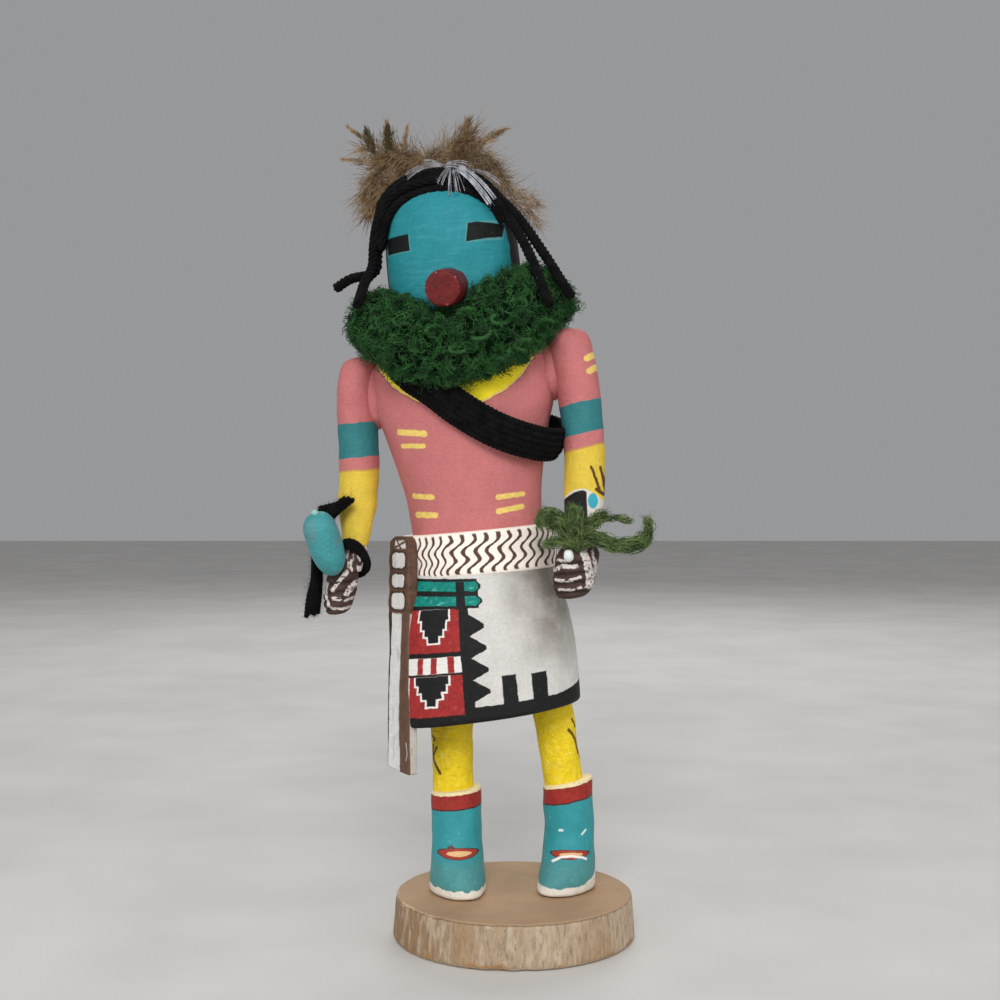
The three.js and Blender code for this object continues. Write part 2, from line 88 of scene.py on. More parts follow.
def curve(points, spacing=0.5, closed=False):
    """Even steps along a smooth line through points, which may carry a radius after x, y and z."""
    p = np.array(points, float)
    if closed:
        p = np.vstack([p[-1:], p, p[:2]])
    else:
        p = np.vstack([2 * p[0] - p[1], p, 2 * p[-1] - p[-2]])
    t = np.linspace(0, 1, 24, endpoint=False)[:, None]
    parts = []
    for a, b, c, d in zip(p[:-3], p[1:-2], p[2:-1], p[3:]):
        parts.append(
            0.5 * (2 * b + (c - a) * t + (2 * a - 5 * b + 4 * c - d) * t**2 + (3 * b - a - 3 * c + d) * t**3)
        )
    line = np.vstack(parts + [p[-2:-1]])
    travel = np.concatenate([[0], np.cumsum(np.linalg.norm(np.diff(line[:, :3], axis=0), axis=1))])
    count = max(int(travel[-1] / spacing), 2)
    at = np.linspace(0, travel[-1], count + 1)
    return np.stack([np.interp(at, travel, line[:, k]) for k in range(line.shape[1])], 1)


def ripple(points, size, seed):
    """A smooth random field, about -1 to 1, with bumps about `size` across."""
    random = np.random.default_rng(seed)
    total = np.zeros(points.shape[:-1])
    for _ in range(8):
        direction = random.normal(size=3)
        direction *= 2 * math.pi / size * random.uniform(0.5, 1.2) / np.linalg.norm(direction)
        total += np.sin(points @ direction + random.uniform(0, 2 * math.pi))
    return total / 4


def unit(vectors):
    return vectors / (np.linalg.norm(vectors, axis=-1, keepdims=True) + 1e-9)


def smooth_noise(random, shape, steps):
    """Random walks along the second-last axis of shape, made smooth over `steps`."""
    walk = random.normal(size=shape)
    kernel = np.hanning(steps + 2)
    kernel /= np.linalg.norm(kernel)
    return np.apply_along_axis(lambda line: np.convolve(line, kernel, mode="same"), -2, walk)


# ---- Surfaces: (points, quads, triangles) ----

def sheet_of(grid, around=True, caps=True):
    """The surface over a grid of points, closed round its second axis and capped at both ends."""
    rows, sides, _ = grid.shape
    index = np.arange(rows * sides).reshape(rows, sides)
    right = np.roll(index, -1, axis=1)
    if not around:
        index, right = index[:, :-1], right[:, :-1]
    quads = np.stack([index[:-1], right[:-1], right[1:], index[1:]], -1).reshape(-1, 4)
    points = grid.reshape(-1, 3)
    triangles = np.zeros((0, 3), int)
    if caps:
        first, last = rows * sides, rows * sides + 1
        points = np.vstack([points, grid[0].mean(0), grid[-1].mean(0)])
        low = np.stack([right[0], index[0], np.full(index.shape[1], first)], -1)
        high = np.stack([index[-1], right[-1], np.full(index.shape[1], last)], -1)
        triangles = np.vstack([low, high])
    return points, quads, triangles


def together(surfaces):
    points, quads, triangles, count = [], [], [], 0
    for p, q, t in surfaces:
        points.append(p)
        quads.append(q + count)
        triangles.append(t + count)
        count += len(p)
    return np.vstack(points), np.vstack(quads), np.vstack(triangles)


def loft(rows, sides=96, spacing=0.9, shape=None):
    """An oval form through rows of [height, half width, half depth, x, y]. `shape` may move its points."""
    rows = np.array([list(row) + [0] * (5 - len(row)) for row in rows], float)
    travel = np.linalg.norm(np.diff(rows, axis=0), axis=1)
    knots = np.concatenate([[0], np.cumsum(travel)])
    at = np.linspace(0, knots[-1], int(knots[-1] / spacing) + 2)
    z, a, b, x, y = (column[:, None] for column in smooth_through(knots, rows, at).T)
    angle = np.linspace(0, 2 * math.pi, sides, endpoint=False)[None]
    grid = np.stack([x + a * np.cos(angle), y + b * np.sin(angle), z + 0 * angle], -1)
    if shape:
        grid = shape(grid)
    return sheet_of(grid)


def frames_along(paths):
    """Directions along each path and two across it, which turn as little as they can."""
    along = unit(np.gradient(paths, axis=1))
    side = np.empty_like(along)
    upright = np.abs(along[:, :1, 2:]) > 0.9
    start = np.cross(along[:, 0], np.where(upright[:, 0], [1.0, 0, 0], UP))
    side[:, 0] = unit(start)
    for i in range(1, along.shape[1]):
        turned = side[:, i - 1]
        ahead = along[:, i]
        side[:, i] = unit(turned - (turned * ahead).sum(-1, keepdims=True) * ahead)
    return along, side, np.cross(along, side)


def tubes(paths, radii, sides=5):
    """Round tubes along paths, which are (count, steps, 3), thin at both ends."""
    paths = np.array(paths, float)
    if paths.ndim == 2:
        paths = paths[None]
    count, steps, _ = paths.shape
    _, side, front = frames_along(paths)
    radii = np.broadcast_to(np.asarray(radii, float), (count, steps)).copy()
    radii[:, [0, -1]] *= 0.3
    angle = np.linspace(0, 2 * math.pi, sides, endpoint=False)
    across = np.cos(angle)[:, None] * side[:, :, None] + np.sin(angle)[:, None] * front[:, :, None]
    rings = paths[:, :, None] + radii[:, :, None, None] * across
    index = np.arange(count * steps * sides).reshape(count, steps, sides)
    right = np.roll(index, -1, axis=2)
    quads = np.stack([index[:, :-1], right[:, :-1], right[:, 1:], index[:, 1:]], -1).reshape(-1, 4)
    return rings.reshape(-1, 3), quads, np.zeros((0, 3), int)


def ribbons(paths, widths, facing):
    """Flat hairs along paths (count, steps, 3), each as wide as widths (count, steps)."""
    count, steps, _ = paths.shape
    along = unit(np.gradient(paths, axis=1))
    across = unit(np.cross(along, facing)) * np.asarray(widths)[..., None] / 2
    rails = np.stack([paths - across, paths + across], 2)
    index = np.arange(count * steps * 2).reshape(count, steps, 2)
    quads = np.stack([index[:, :-1, 0], index[:, :-1, 1], index[:, 1:, 1], index[:, 1:, 0]], -1)
    return rails.reshape(-1, 3), quads.reshape(-1, 4), np.zeros((0, 3), int)


def signed_volume(points, quads, triangles):
    faces = np.vstack([quads[:, :3], quads[:, [0, 2, 3]], triangles])
    a, b, c = points[faces[:, 0]], points[faces[:, 1]], points[faces[:, 2]]
    return (a * np.cross(b, c)).sum()


def piece(name, surface, material, place=TRUNK, stands_for=(), turn_out=True):
    """A mesh object on the doll, in the trunk's frame or the world's."""
    points, quads, triangles = surface
    if not turn_out:
        turned_points = np.array(place.to_3x3())
        points, place = points @ turned_points.T + np.array(place.translation) / MM, WORLD
    if turn_out and signed_volume(points, quads, triangles) < 0:
        quads, triangles = quads[:, ::-1], triangles[:, ::-1]
    mesh = bpy.data.meshes.new(name)
    mesh.vertices.add(len(points))
    mesh.vertices.foreach_set("co", (points * MM).astype(np.float32).ravel())
    mesh.loops.add(quads.size + triangles.size)
    corners = np.concatenate([quads.ravel(), triangles.ravel()])
    mesh.loops.foreach_set("vertex_index", corners.astype(np.int32))
    mesh.polygons.add(len(quads) + len(triangles))
    starts = np.concatenate([np.arange(len(quads)) * 4, quads.size + np.arange(len(triangles)) * 3])
    mesh.polygons.foreach_set("loop_start", starts.astype(np.int32))
    mesh.update(calc_edges=True)
    mesh.shade_smooth()
    mesh.materials.append(material)
    made = bpy.data.objects.new(name, mesh)
    bpy.context.scene.collection.objects.link(made)
    made.matrix_world = place
    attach(made, "root")
    if stands_for:
        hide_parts(*([stands_for] if isinstance(stands_for, str) else stands_for))
    return made


def carved_piece(name, form, paint, place=TRUNK):
    return piece(name, form, paint, place, "figure")


def fibre_piece(name, surfaces, material, stands_for=()):
    """A piece of open ribbons and tubes, which have no inside to turn out."""
    return piece(name, together(surfaces), material, stands_for=stands_for, turn_out=False)


# ---- Paint: a material's nodes, written as sums ----

def srgb(red, green, blue):
    def linear(value):
        value /= 255
        return value / 12.92 if value <= 0.04045 else ((value + 0.055) / 1.055) ** 2.4

    return (linear(red), linear(green), linear(blue), 1.0)


class Term:
    """A number that a material's nodes work out at each point of a surface."""

    def __init__(self, paint, socket):
        self.paint = paint
        self.socket = socket

    def __add__(self, other):
        return self.paint.math("ADD", self, other)

    def __sub__(self, other):
        return self.paint.math("SUBTRACT", self, other)

    def __rsub__(self, other):
        return self.paint.math("SUBTRACT", other, self)

    def __mul__(self, other):
        return self.paint.math("MULTIPLY", self, other)

    def __truediv__(self, other):
        return self.paint.math("DIVIDE", self, other)

    def __pow__(self, other):
        return self.paint.math("POWER", self, other)

    def __neg__(self):
        return self * -1

    def __abs__(self):
        return self.paint.math("ABSOLUTE", self)

    __radd__ = __add__
    __rmul__ = __mul__


class Paint:
    """A material whose colour and relief are worked out from a point's place on the piece, in mm."""

    def __init__(self, name):
        self.material = bpy.data.materials.new(name)
        self.material.use_nodes = True
        self.tree = self.material.node_tree
        self.shader = self.tree.nodes["Principled BSDF"]
        self.seed = sum(name.encode()) % 97
        self.colour = None
        place = self.node("ShaderNodeTexCoord").outputs["Object"]
        self.place = self.vector("SCALE", place, scale=1 / MM)
        split = self.node("ShaderNodeSeparateXYZ")
        self.tree.links.new(self.place, split.inputs[0])
        self.x, self.y, self.z = (Term(self, socket) for socket in split.outputs)

    def node(self, kind, **settings):
        made = self.tree.nodes.new(kind)
        for key, value in settings.items():
            setattr(made, key, value)
        return made

    def feed(self, socket, value):
        if isinstance(value, Term):
            self.tree.links.new(value.socket, socket)
        elif isinstance(value, bpy.types.NodeSocket):
            self.tree.links.new(value, socket)
        else:
            socket.default_value = value

    def math(self, operation, *values):
        made = self.node("ShaderNodeMath", operation=operation)
        for socket, value in zip(made.inputs, values):
            self.feed(socket, value)
        return Term(self, made.outputs[0])

    def vector(self, operation, *values, scale=None):
        made = self.node("ShaderNodeVectorMath", operation=operation)
        for socket, value in zip(made.inputs, values):
            self.feed(socket, value)
        if scale is not None:
            self.feed(made.inputs["Scale"], scale)
        return made.outputs["Value"] if operation in ("LENGTH", "DOT_PRODUCT") else made.outputs["Vector"]

    def least(self, *terms):
        return self.fold("MINIMUM", terms)

    def most(self, *terms):
        return self.fold("MAXIMUM", terms)

    def fold(self, operation, terms):
        result = terms[0]
        for term in terms[1:]:
            result = self.math(operation, result, term)
        return result

    def sine(self, value):
        return self.math("SINE", value)

    def root(self, value):
        return self.math("SQRT", value)

    def part(self, value):
        """What is left over after whole numbers."""
        return self.math("FRACT", value)

    def angle(self, x, y):
        """Degrees round from the front, more to the doll's left."""
        return self.math("ARCTAN2", x, -y) * (180 / math.pi)

    def ramp(self, value, low, high):
        """0 at low and 1 at high."""
        made = self.node("ShaderNodeMapRange")
        for socket, number in zip(made.inputs, (value, low, high)):
            self.feed(socket, number)
        return Term(self, made.outputs[0])

    def band(self, value, low, high, soft=0.12):
        """1 between low and high."""
        return self.ramp(value, low - soft, low + soft) * self.ramp(value, high + soft, high - soft)

    def noise(self, size, stretch=(1, 1, 1), detail=2.0, place=None):
        """Random blotches about `size` mm across, 0 to 1 with most near 0.5."""
        self.seed += 1
        made = self.node("ShaderNodeTexNoise")
        factors = tuple(1 / (size * s) for s in stretch)
        shifted = self.vector("MULTIPLY_ADD", place or self.place, factors, (self.seed * 3.7,) * 3)
        self.tree.links.new(shifted, made.inputs["Vector"])
        made.inputs["Scale"].default_value = 1.0
        made.inputs["Detail"].default_value = detail
        return Term(self, made.outputs["Fac"])

    def patches(self, low, high, size, **noise):
        """Blotches that are 0 where the noise is at low and 1 where it is at high."""
        return self.ramp(self.noise(size, **noise), low, high)

    def wobble(self, size, reach):
        """Random from about -reach to reach."""
        return (self.noise(size) - 0.5) * (4 * reach)

    def stroke(self, u, w, points, half_width):
        """1 on a brush stroke through points of (u, w)."""
        here = self.node("ShaderNodeCombineXYZ")
        self.feed(here.inputs[0], u)
        self.feed(here.inputs[1], w)
        distances = []
        for a, b in zip(points[:-1], points[1:]):
            along = Vector((b[0] - a[0], b[1] - a[1], 0))
            offset = self.vector("SUBTRACT", here.outputs[0], (a[0], a[1], 0))
            share = Term(self, self.vector("DOT_PRODUCT", offset, tuple(along / along.length_squared)))
            share = self.least(self.most(share, 0.0), 1.0)
            on_line = self.vector("SCALE", tuple(along), scale=share)
            distances.append(Term(self, self.vector("LENGTH", self.vector("SUBTRACT", offset, on_line))))
        return self.ramp(self.least(*distances), half_width + 0.12, half_width - 0.12)

    def blend(self, under, over, cover):
        made = self.node("ShaderNodeMix", data_type="RGBA")
        self.feed(made.inputs[0], cover)
        self.feed(made.inputs[6], under)
        self.feed(made.inputs[7], over)
        return made.outputs[2]

    def coat(self, over, cover):
        """Lays a colour over what is painted so far, where cover is 1."""
        self.colour = self.blend(self.colour, over, cover)

    def mottle(self, colour, size=5, amount=0.12, detail=3.0):
        """The colour, a little lighter and darker in blotches."""
        shade = self.patches(0.3, 0.7, size, detail=detail)
        made = self.node("ShaderNodeHueSaturation")
        self.feed(made.inputs["Value"], shade * (2 * amount) + (1 - amount))
        self.feed(made.inputs["Color"], colour)
        return made.outputs[0]

    def finish(self, roughness=0.6, height=None, sheen=0.0, specular=0.25):
        """Sets the shader: `height` is relief in mm."""
        self.feed(self.shader.inputs["Base Color"], self.colour)
        self.feed(self.shader.inputs["Roughness"], roughness)
        self.shader.inputs["Specular IOR Level"].default_value = specular
        if sheen:
            self.shader.inputs["Sheen Weight"].default_value = sheen
            self.shader.inputs["Sheen Roughness"].default_value = 0.6
        if height is not None:
            bump = self.node("ShaderNodeBump")
            bump.inputs["Strength"].default_value = 1.0
            bump.inputs["Distance"].default_value = MM
            self.feed(bump.inputs["Height"], height)
            self.tree.links.new(bump.outputs[0], self.shader.inputs["Normal"])
        return self.material


def painted_wood(paint, relief=None, roughness=0.62, grain=1.0):
    """Paint brushed on carved cottonwood root: fine felt-like tooth, soft knife facets, dusty specks."""
    tooth = paint.noise(0.5, detail=4) * (0.2 * grain)
    brushed = paint.noise(0.9, stretch=(4, 4, 0.9), detail=3) * (0.16 * grain)
    knife = paint.noise(5, stretch=(1, 1, 2.2), detail=1) * 0.5
    fibre = paint.noise(0.7, stretch=(1, 1, 7), detail=2) * (0.06 * grain)
    height = tooth + brushed + knife + fibre
    paint.colour = paint.mottle(paint.colour, 0.8, 0.08 * grain, detail=5)
    if relief is not None:
        height = height + relief
    specks = paint.patches(0.7, 0.78, 0.55, detail=1)
    paint.coat(srgb(60, 45, 40), specks * 0.25)
    dust = paint.patches(0.64, 0.8, 0.8, stretch=(1, 1, 1.6), detail=3)
    paint.coat(srgb(235, 225, 215), dust * 0.06)
    return paint.finish(roughness, height)


def plain_paint(name, colour, size, amount, roughness=0.62):
    """One colour, brushed on."""
    p = Paint(name)
    p.colour = p.mottle(colour, size, amount)
    return painted_wood(p, roughness=roughness)


# ---- Colours ----

PINK = srgb(194, 115, 114)
YELLOW = srgb(240, 209, 30)
YOKE_YELLOW = srgb(255, 232, 40)
ARM_YELLOW = srgb(219, 189, 65)
TURQUOISE = srgb(32, 131, 140)
BAND_TURQUOISE = srgb(49, 122, 126)
MOCCASIN_TURQUOISE = srgb(50, 148, 155)
TOE_TURQUOISE = srgb(82, 143, 143)
TEAL = srgb(0, 128, 116)
RED = srgb(156, 40, 40)
BAND_RED = srgb(158, 45, 38)
SNOUT_RED = srgb(101, 24, 25)
BLACK = srgb(19, 19, 19)
CHARCOAL = srgb(24, 26, 28)
BROWN = srgb(86, 60, 48)
MARK_BROWN = srgb(92, 62, 22)
HAND_BROWN = srgb(70, 50, 44)
WHITE = srgb(210, 207, 202)
PALE_YELLOW = srgb(238, 208, 110)
OVAL_RED = srgb(165, 58, 44)
OVAL_CREAM = srgb(228, 186, 134)


# ---- The carved figure's forms: rows of [height, half width, half depth, x, y] ----

TORSO_ROWS = [
    [110, 20.2, 14.4], [120, 20.5, 14.7], [128, 20.8, 14.8], [137, 21.4, 15.2], [149, 23.7, 16.2],
    [159, 26.2, 17.0], [168, 28.6, 17.0], [177, 28.8, 15.6], [184, 26.5, 12.8], [188.5, 20, 8.5],
    [189.6, 12, 5],
]
KILT_HEM = 69.6
KILT_RISE = 0.045
KILT_ROWS = [
    [KILT_HEM, 27.9, 22.2, -1.8], [KILT_HEM + 0.3, 28.9, 23.2, -1.8], [KILT_HEM + 1.2, 29.5, 23.8, -1.8],
    [78, 29.6, 23.6, -1.6], [88, 29.5, 23.0, -1.5], [100, 28.2, 21.4, -1.5], [110, 25.6, 19.2, -1.2],
    [116, 24.3, 18.1, -0.7],
]
KILT_SHIFT = 1.6
KILT_FLATNESS = 0.79
# heights, and how far the cloth stands out at each to meet the sash
KILT_SWELL = [70, 80, 88, 92, 98, 104, 110], [2.9, 2.4, 1.7, 1.3, 1.3, 1.0, 0.0]
BELT_BOTTOM = 113.6
BELT_TOP = 127.4
BELT_ROWS = [
    [BELT_BOTTOM, 22.8, 16.8], [BELT_BOTTOM + 0.1, 24.0, 18.0], [BELT_BOTTOM + 0.7, 24.7, 18.7],
    [BELT_BOTTOM + 1.8, 24.9, 18.9], [120.5, 24.95, 18.8], [BELT_TOP - 1.6, 24.9, 18.4],
    [BELT_TOP - 0.5, 24.6, 18.0], [BELT_TOP, 23.8, 17.3], [BELT_TOP + 0.05, 22.6, 16.2],
]
HEAD_ROWS = [
    [182, 12, 11, 0.6, 0], [190, 15.5, 14, 0.6, 0], [196, 20.2, 18.6, 0.6, 0], [204, 21.2, 19.6, 0.6, 0],
    [214, 21.1, 19.6, 0.6, 0], [223, 20.1, 18.8, 0.6, 0], [229, 18.4, 17.4, 0.6, 0.2],
    [233.6, 15.4, 14.8, 0.6, 0.5], [236.8, 10.8, 10.4, 0.6, 0.7], [238.4, 5, 5, 0.6, 0.8],
    [238.8, 0.6, 0.6, 0.6, 0.8],
]
LEFT_ARM_ROWS = [
    [187.4, 0.5, 0.6, 34, 1], [187.2, 3, 3.6, 34, 1], [186, 5.6, 6, 34.6, 0.8], [182, 6.9, 7.7, 34.9, 0.2],
    [174, 7.0, 8.2, 35.8, 0], [162, 6.6, 7.4, 36.6, 0], [148, 6.4, 6.8, 36.6, -1.4],
    [139, 6.4, 6.2, 36.1, -4.6], [131, 6.0, 5.8, 35.5, -9], [126, 5.6, 5.2, 34.8, -11.6],
    [119, 5.0, 4.8, 33.8, -14.4],
]
RIGHT_ARM_ROWS = [
    [185.8, 0.5, 0.6, -31.6, 1], [185.6, 3, 3.6, -31.6, 1], [184.4, 5.6, 6, -32.4, 0.8],
    [181, 6.4, 7.6, -33.2, 0.2], [174, 6.4, 8.0, -34.7, 0], [162, 6.4, 7.4, -35.5, 0],
    [148, 6.4, 6.8, -36.2, -1.4], [139, 6.2, 6.2, -36.8, -4.6], [131, 4.8, 5.0, -36.8, -8.6],
    [126, 4.2, 4.4, -37.2, -10.8], [118, 4.0, 4.2, -39.4, -13.4],
]
RIGHT_FIST = {"x": -40.7, "y": -14, "top": 119.6, "width": 4.9, "depth": 5.6, "height": 14.2, "drift": -3.0}
FINGER_GROOVES = (0.31, 0.5, 0.68, 0.86)
LEFT_FIST = {"x": 33.6, "y": -14.6, "top": 120, "width": 6.6, "depth": 6.2, "height": 15.6, "drift": -3.4}
BASE_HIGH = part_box("base")[1]
BASE_TOP = BASE_HIGH.z / MM
BASE_FOOT = BASE_HIGH.x / MM
BASE_TAPER = 1
BASE_RADIUS = 37
GLUE_GAP = 0.3
SOLE = BASE_TOP + GLUE_GAP
RIGHT_FOOT = {"x": -17.9, "y": 1.4, "rim": 44.9, "turn": 3, "tilt": 0.1, "ankle": (-0.2, 3.9), "toe": 1.8}
LEFT_FOOT = {"x": 17.2, "y": 4.4, "rim": 47.2, "turn": -11, "tilt": 0.2, "ankle": (-0.6, 2.6), "toe": -2.6}


def outward(grid):
    """Level directions away from the middle of each ring of a form."""
    return unit((grid - grid.mean(axis=1, keepdims=True)) * [1, 1, 0])


def whittled(depth, size, seed):
    """A shape that lets a knife's soft facets show in a carved form."""
    return lambda grid: grid + outward(grid) * ripple(grid, size, seed)[..., None] * depth


def kilt_form(grid):
    """The hem rises towards the doll's left, and the cloth swells to meet the sash's front edge."""
    free = np.clip((BELT_BOTTOM - grid[..., 2]) / (BELT_BOTTOM - KILT_HEM), 0, None)
    turn = np.degrees(np.arctan2((grid[..., 0] + KILT_SHIFT) * KILT_FLATNESS, -grid[..., 1]))
    before = np.clip((turn + 62) / 20, 0, 1)
    after = 0.5 + 0.5 * np.cos(math.pi * np.clip((turn + 42) / 46, 0, 1))
    swell = np.interp(grid[..., 2], *KILT_SWELL)
    out = unit(grid * [1, 1, 0])
    grid = grid + out * (swell * before * after)[..., None]
    grid[..., 2] += KILT_RISE * grid[..., 0] * free
    return whittled(0.18, 16, 5)(grid)


def fist_rows(x, y, top, width, depth, height, drift):
    shape = [
        (-0.2, 0.6, 0.6), (0, 0.8, 0.76), (0.2, 1, 1), (0.45, 1.02, 1.02), (0.68, 0.98, 0.98),
        (0.9, 0.78, 0.8), (0.98, 0.5, 0.55), (1, 0.2, 0.22),
    ]
    return [[top - height * t, width * a, depth * b, x + drift * t, y - t * 2] for t, a, b in shape]


def fist_form(x, y, top, width, depth, height, drift):
    """Grooves between four fingers run round the front of the fist."""
    def shape(grid):
        part = (top - grid[..., 2]) / height
        out = outward(grid)
        front = np.clip(-out[..., 1] * 1.4 + 0.3, 0, 1)
        groove = sum(np.exp(-(((part - at) / 0.035) ** 2)) for at in FINGER_GROOVES)
        return grid - out * (groove * front * 0.75)[..., None] + out * ripple(grid, 5, 8)[..., None] * 0.15
    return shape


LEG_DEPTH = HIPS.y + 1.55
LEG_RADIUS = 6.5
RIGHT_LEG = [(-20.2, 80, 7.0), (-19.1, 40, 6.3)]
LEFT_LEG = [(10.8, 80, 6.8), (16.6, 42, 6.0)]


def leg_rows(ends):
    """Rows of a leg from its ends, which are (x, height, radius)."""
    return [[z, radius, radius + 0.1, x, LEG_DEPTH] for x, z, radius in ends]


def moccasin(x, y, rim, turn, tilt, ankle, toe):
    """A tall ankle on a blunt foot, whose tip is `toe` off the middle.

    The rim rises towards the doll's left, and `ankle` is its middle.
    """
    rows = [
        [SOLE, 7.2, 12.3, 0, -1.2], [SOLE + 0.15, 8.0, 13.1, 0, -1.2], [SOLE + 1, 8.7, 13.8, 0, -1.2],
        [SOLE + 3, 8.8, 13.8, 0, -1.1], [SOLE + 5, 8.7, 13.3, 0, -0.9], [SOLE + 9, 8.3, 11.8, 0, 0.3],
        [SOLE + 13, 8.1, 9.8, 0, 2], [SOLE + 18, 7.9, 8.6, 0, 2.9], [rim - 1, 7.9, 8.2, *ankle],
        [rim - 0.2, 7.8, 8.0, *ankle], [rim, 7.3, 7.5, *ankle],
    ]

    def shape(grid):
        grid = whittled(0.15, 7, int(rim))(grid)
        share = np.clip(grid[..., 2] - SOLE - 13, 0, None) / (rim - SOLE - 13)
        forward = np.clip(-grid[..., 1] - 1, 0, None) / 13
        grid[..., 0] += toe * forward**1.5 * np.clip(1 - (grid[..., 2] - SOLE) / 12, 0, 1)
        return grid + UP * (tilt * grid[..., 0] * share)[..., None]

    points, quads, triangles = loft(rows, 80, 0.6, shape)
    c, s = math.cos(math.radians(turn)), math.sin(math.radians(turn))
    turned = points @ np.array([[c, s, 0], [-s, c, 0], [0, 0, 1]])
    return turned + [x, y, 0], quads, triangles


# ---- The paint on each part ----

TORSO_DASHES = [
    ((-19.3, 160.0), (-10.6, 158.6), 0.95), ((-18.7, 155.6), (-11.4, 154.9), 0.75),
    ((-17.1, 139.8), (-10.5, 138.9), 0.85), ((-16.6, 133.8), (-10.1, 133.3), 0.95),
    ((10.1, 137.0), (17.0, 137.3), 0.8), ((9.8, 132.6), (16.4, 133.4), 0.85),
]


def torso_paint():
    p = Paint("torso_paint")
    p.colour = p.mottle(PINK, 6, 0.05)
    edge = p.wobble(4, 0.35)
    tilted = p.z + p.x * 0.08 - 190
    inside = p.root(((p.x + 1) / 27) ** 2 + (tilted / 24) ** 2)
    depth = (1 - inside) * 25 + edge
    p.coat(srgb(150, 84, 62), p.band(depth, -0.5, -0.1) * 0.6)
    p.coat(srgb(236, 206, 120), p.band(depth, -0.15, 0.45))
    yellow = p.mottle(YOKE_YELLOW, 4, 0.06)
    p.coat(yellow, p.ramp(depth, 0.25, 0.55))
    front = p.ramp(p.y, 0, -1)
    for a, b, half in TORSO_DASHES:
        reach = p.stroke(p.x, p.z + p.wobble(1.6, 0.18), [a, b], half)
        p.coat(p.mottle(PALE_YELLOW, 1.5, 0.1), reach * front * 0.95)
    return painted_wood(p, roughness=0.68)


def arm_paint(name, bands, marks, dashes, cuff):
    """Pink with a turquoise band and a yellow forearm.

    `bands` are the turquoise's top and bottom, the yellow's top, and how they all slope.
    """
    p = Paint(name)
    top, bottom, yellow, slope = bands
    height = p.z - p.x * slope + p.wobble(3, 0.22)
    p.colour = p.mottle(PINK, 5, 0.05)
    p.coat(p.mottle(BAND_TURQUOISE, 3, 0.07), p.band(height, bottom, top, 0.15))
    p.coat(srgb(196, 150, 70), p.band(height, yellow - 0.5, yellow + 0.15, 0.15))
    p.coat(p.mottle(ARM_YELLOW, 4, 0.06), p.ramp(height, yellow - 0.2, yellow - 0.5))
    front = p.ramp(p.y, -1, -1.6)
    for points, half in marks:
        p.coat(MARK_BROWN, p.stroke(p.x + p.wobble(2, 0.15), p.z, points, half) * front)
    for points, half in dashes:
        p.coat(PALE_YELLOW, p.stroke(p.x, p.z, points, half) * 0.9)
    if not cuff:
        hand = p.ramp(p.z + p.wobble(2, 0.4), 126.0, 125.4)
        p.coat(p.mottle(HAND_BROWN, 3, 0.2), hand)
        brushed = p.patches(0.47, 0.53, 1.7, stretch=(1, 1, 1.8), detail=2)
        p.coat(srgb(206, 198, 192), brushed * hand)
    if cuff:
        low = p.z - p.x * 0.1 - 129.8
        arch = ((p.x - 34.6) / 5.2) ** 2 * 2.6
        edge = low + arch + p.wobble(2, 0.2)
        p.coat(srgb(216, 212, 202), p.ramp(edge, 4.1, 3.8))
        black = p.ramp(edge, 3.5, 3.2) * p.ramp(p.x, 37.4, 37.1)
        p.coat(BLACK, black)
        spot_u, spot_w = (p.x - 39.0) / 1.45, (p.z - 133.2) / 2.3
        spot = spot_u**2 + spot_w**2
        p.coat(srgb(60, 165, 185), p.ramp(spot, 1.1, 0.9) * front)
        hook = p.stroke(p.x, p.z, [(40.2, 136.6), (41.6, 135.2), (42.8, 134.2)], 0.5)
        p.coat(MARK_BROWN, hook * front)
    return painted_wood(p, roughness=0.65)


EYES = [
    # left, right, lowest, highest, tilt, lean, how its floor rises, how its top is peaked
    (-17.9, -9.15, 215.1, 220.3, -0.04, 0.05, 0.0, 0.0),
    (8.6, 18.4, 215.3, 221.3, 0.0, -0.16, 0.13, 0.11),
]


def head_paint():
    p = Paint("head_paint")
    p.colour = p.mottle(TURQUOISE, 5, 0.05)
    brushed = p.patches(0.5, 0.8, 1.2, stretch=(4, 4, 1))
    p.coat(srgb(84, 170, 180), brushed * 0.25)
    eye_x, eye_z = p.x + p.wobble(3, 0.08), p.z + p.wobble(3, 0.08)
    front = p.ramp(p.y, -4, -5)
    for left, right, low, high, tilt, lean, rising, peaked in EYES:
        u = eye_x + (eye_z - low) * lean
        w = eye_z - (eye_x - left) * tilt
        sill = w - (eye_x - left) * rising * 0.5
        rim = p.band(u, left - 0.3, right + 0.3) * p.band(sill, low - 0.3, high - 0.1)
        p.coat(srgb(96, 150, 150), rim * front * 0.6)
        floor = p.ramp(w - (eye_x - left) * rising, low - 0.12, low + 0.12)
        ceiling = p.ramp(w + abs(eye_x - (left + 3.4)) * peaked, high + 0.12, high - 0.12)
        fill = p.band(u, left, right) * floor * ceiling
        p.coat(p.mottle(srgb(3, 6, 6), 2, 0.2), fill * front)
    back = p.ramp(p.y + p.wobble(5, 0.5), -7.6, -7.2)
    p.coat(p.mottle(CHARCOAL, 3, 0.2), back)
    return painted_wood(p, roughness=0.6, grain=0.8)


BELT_PITCH = 8.6
BELT_WAVE = 5.9


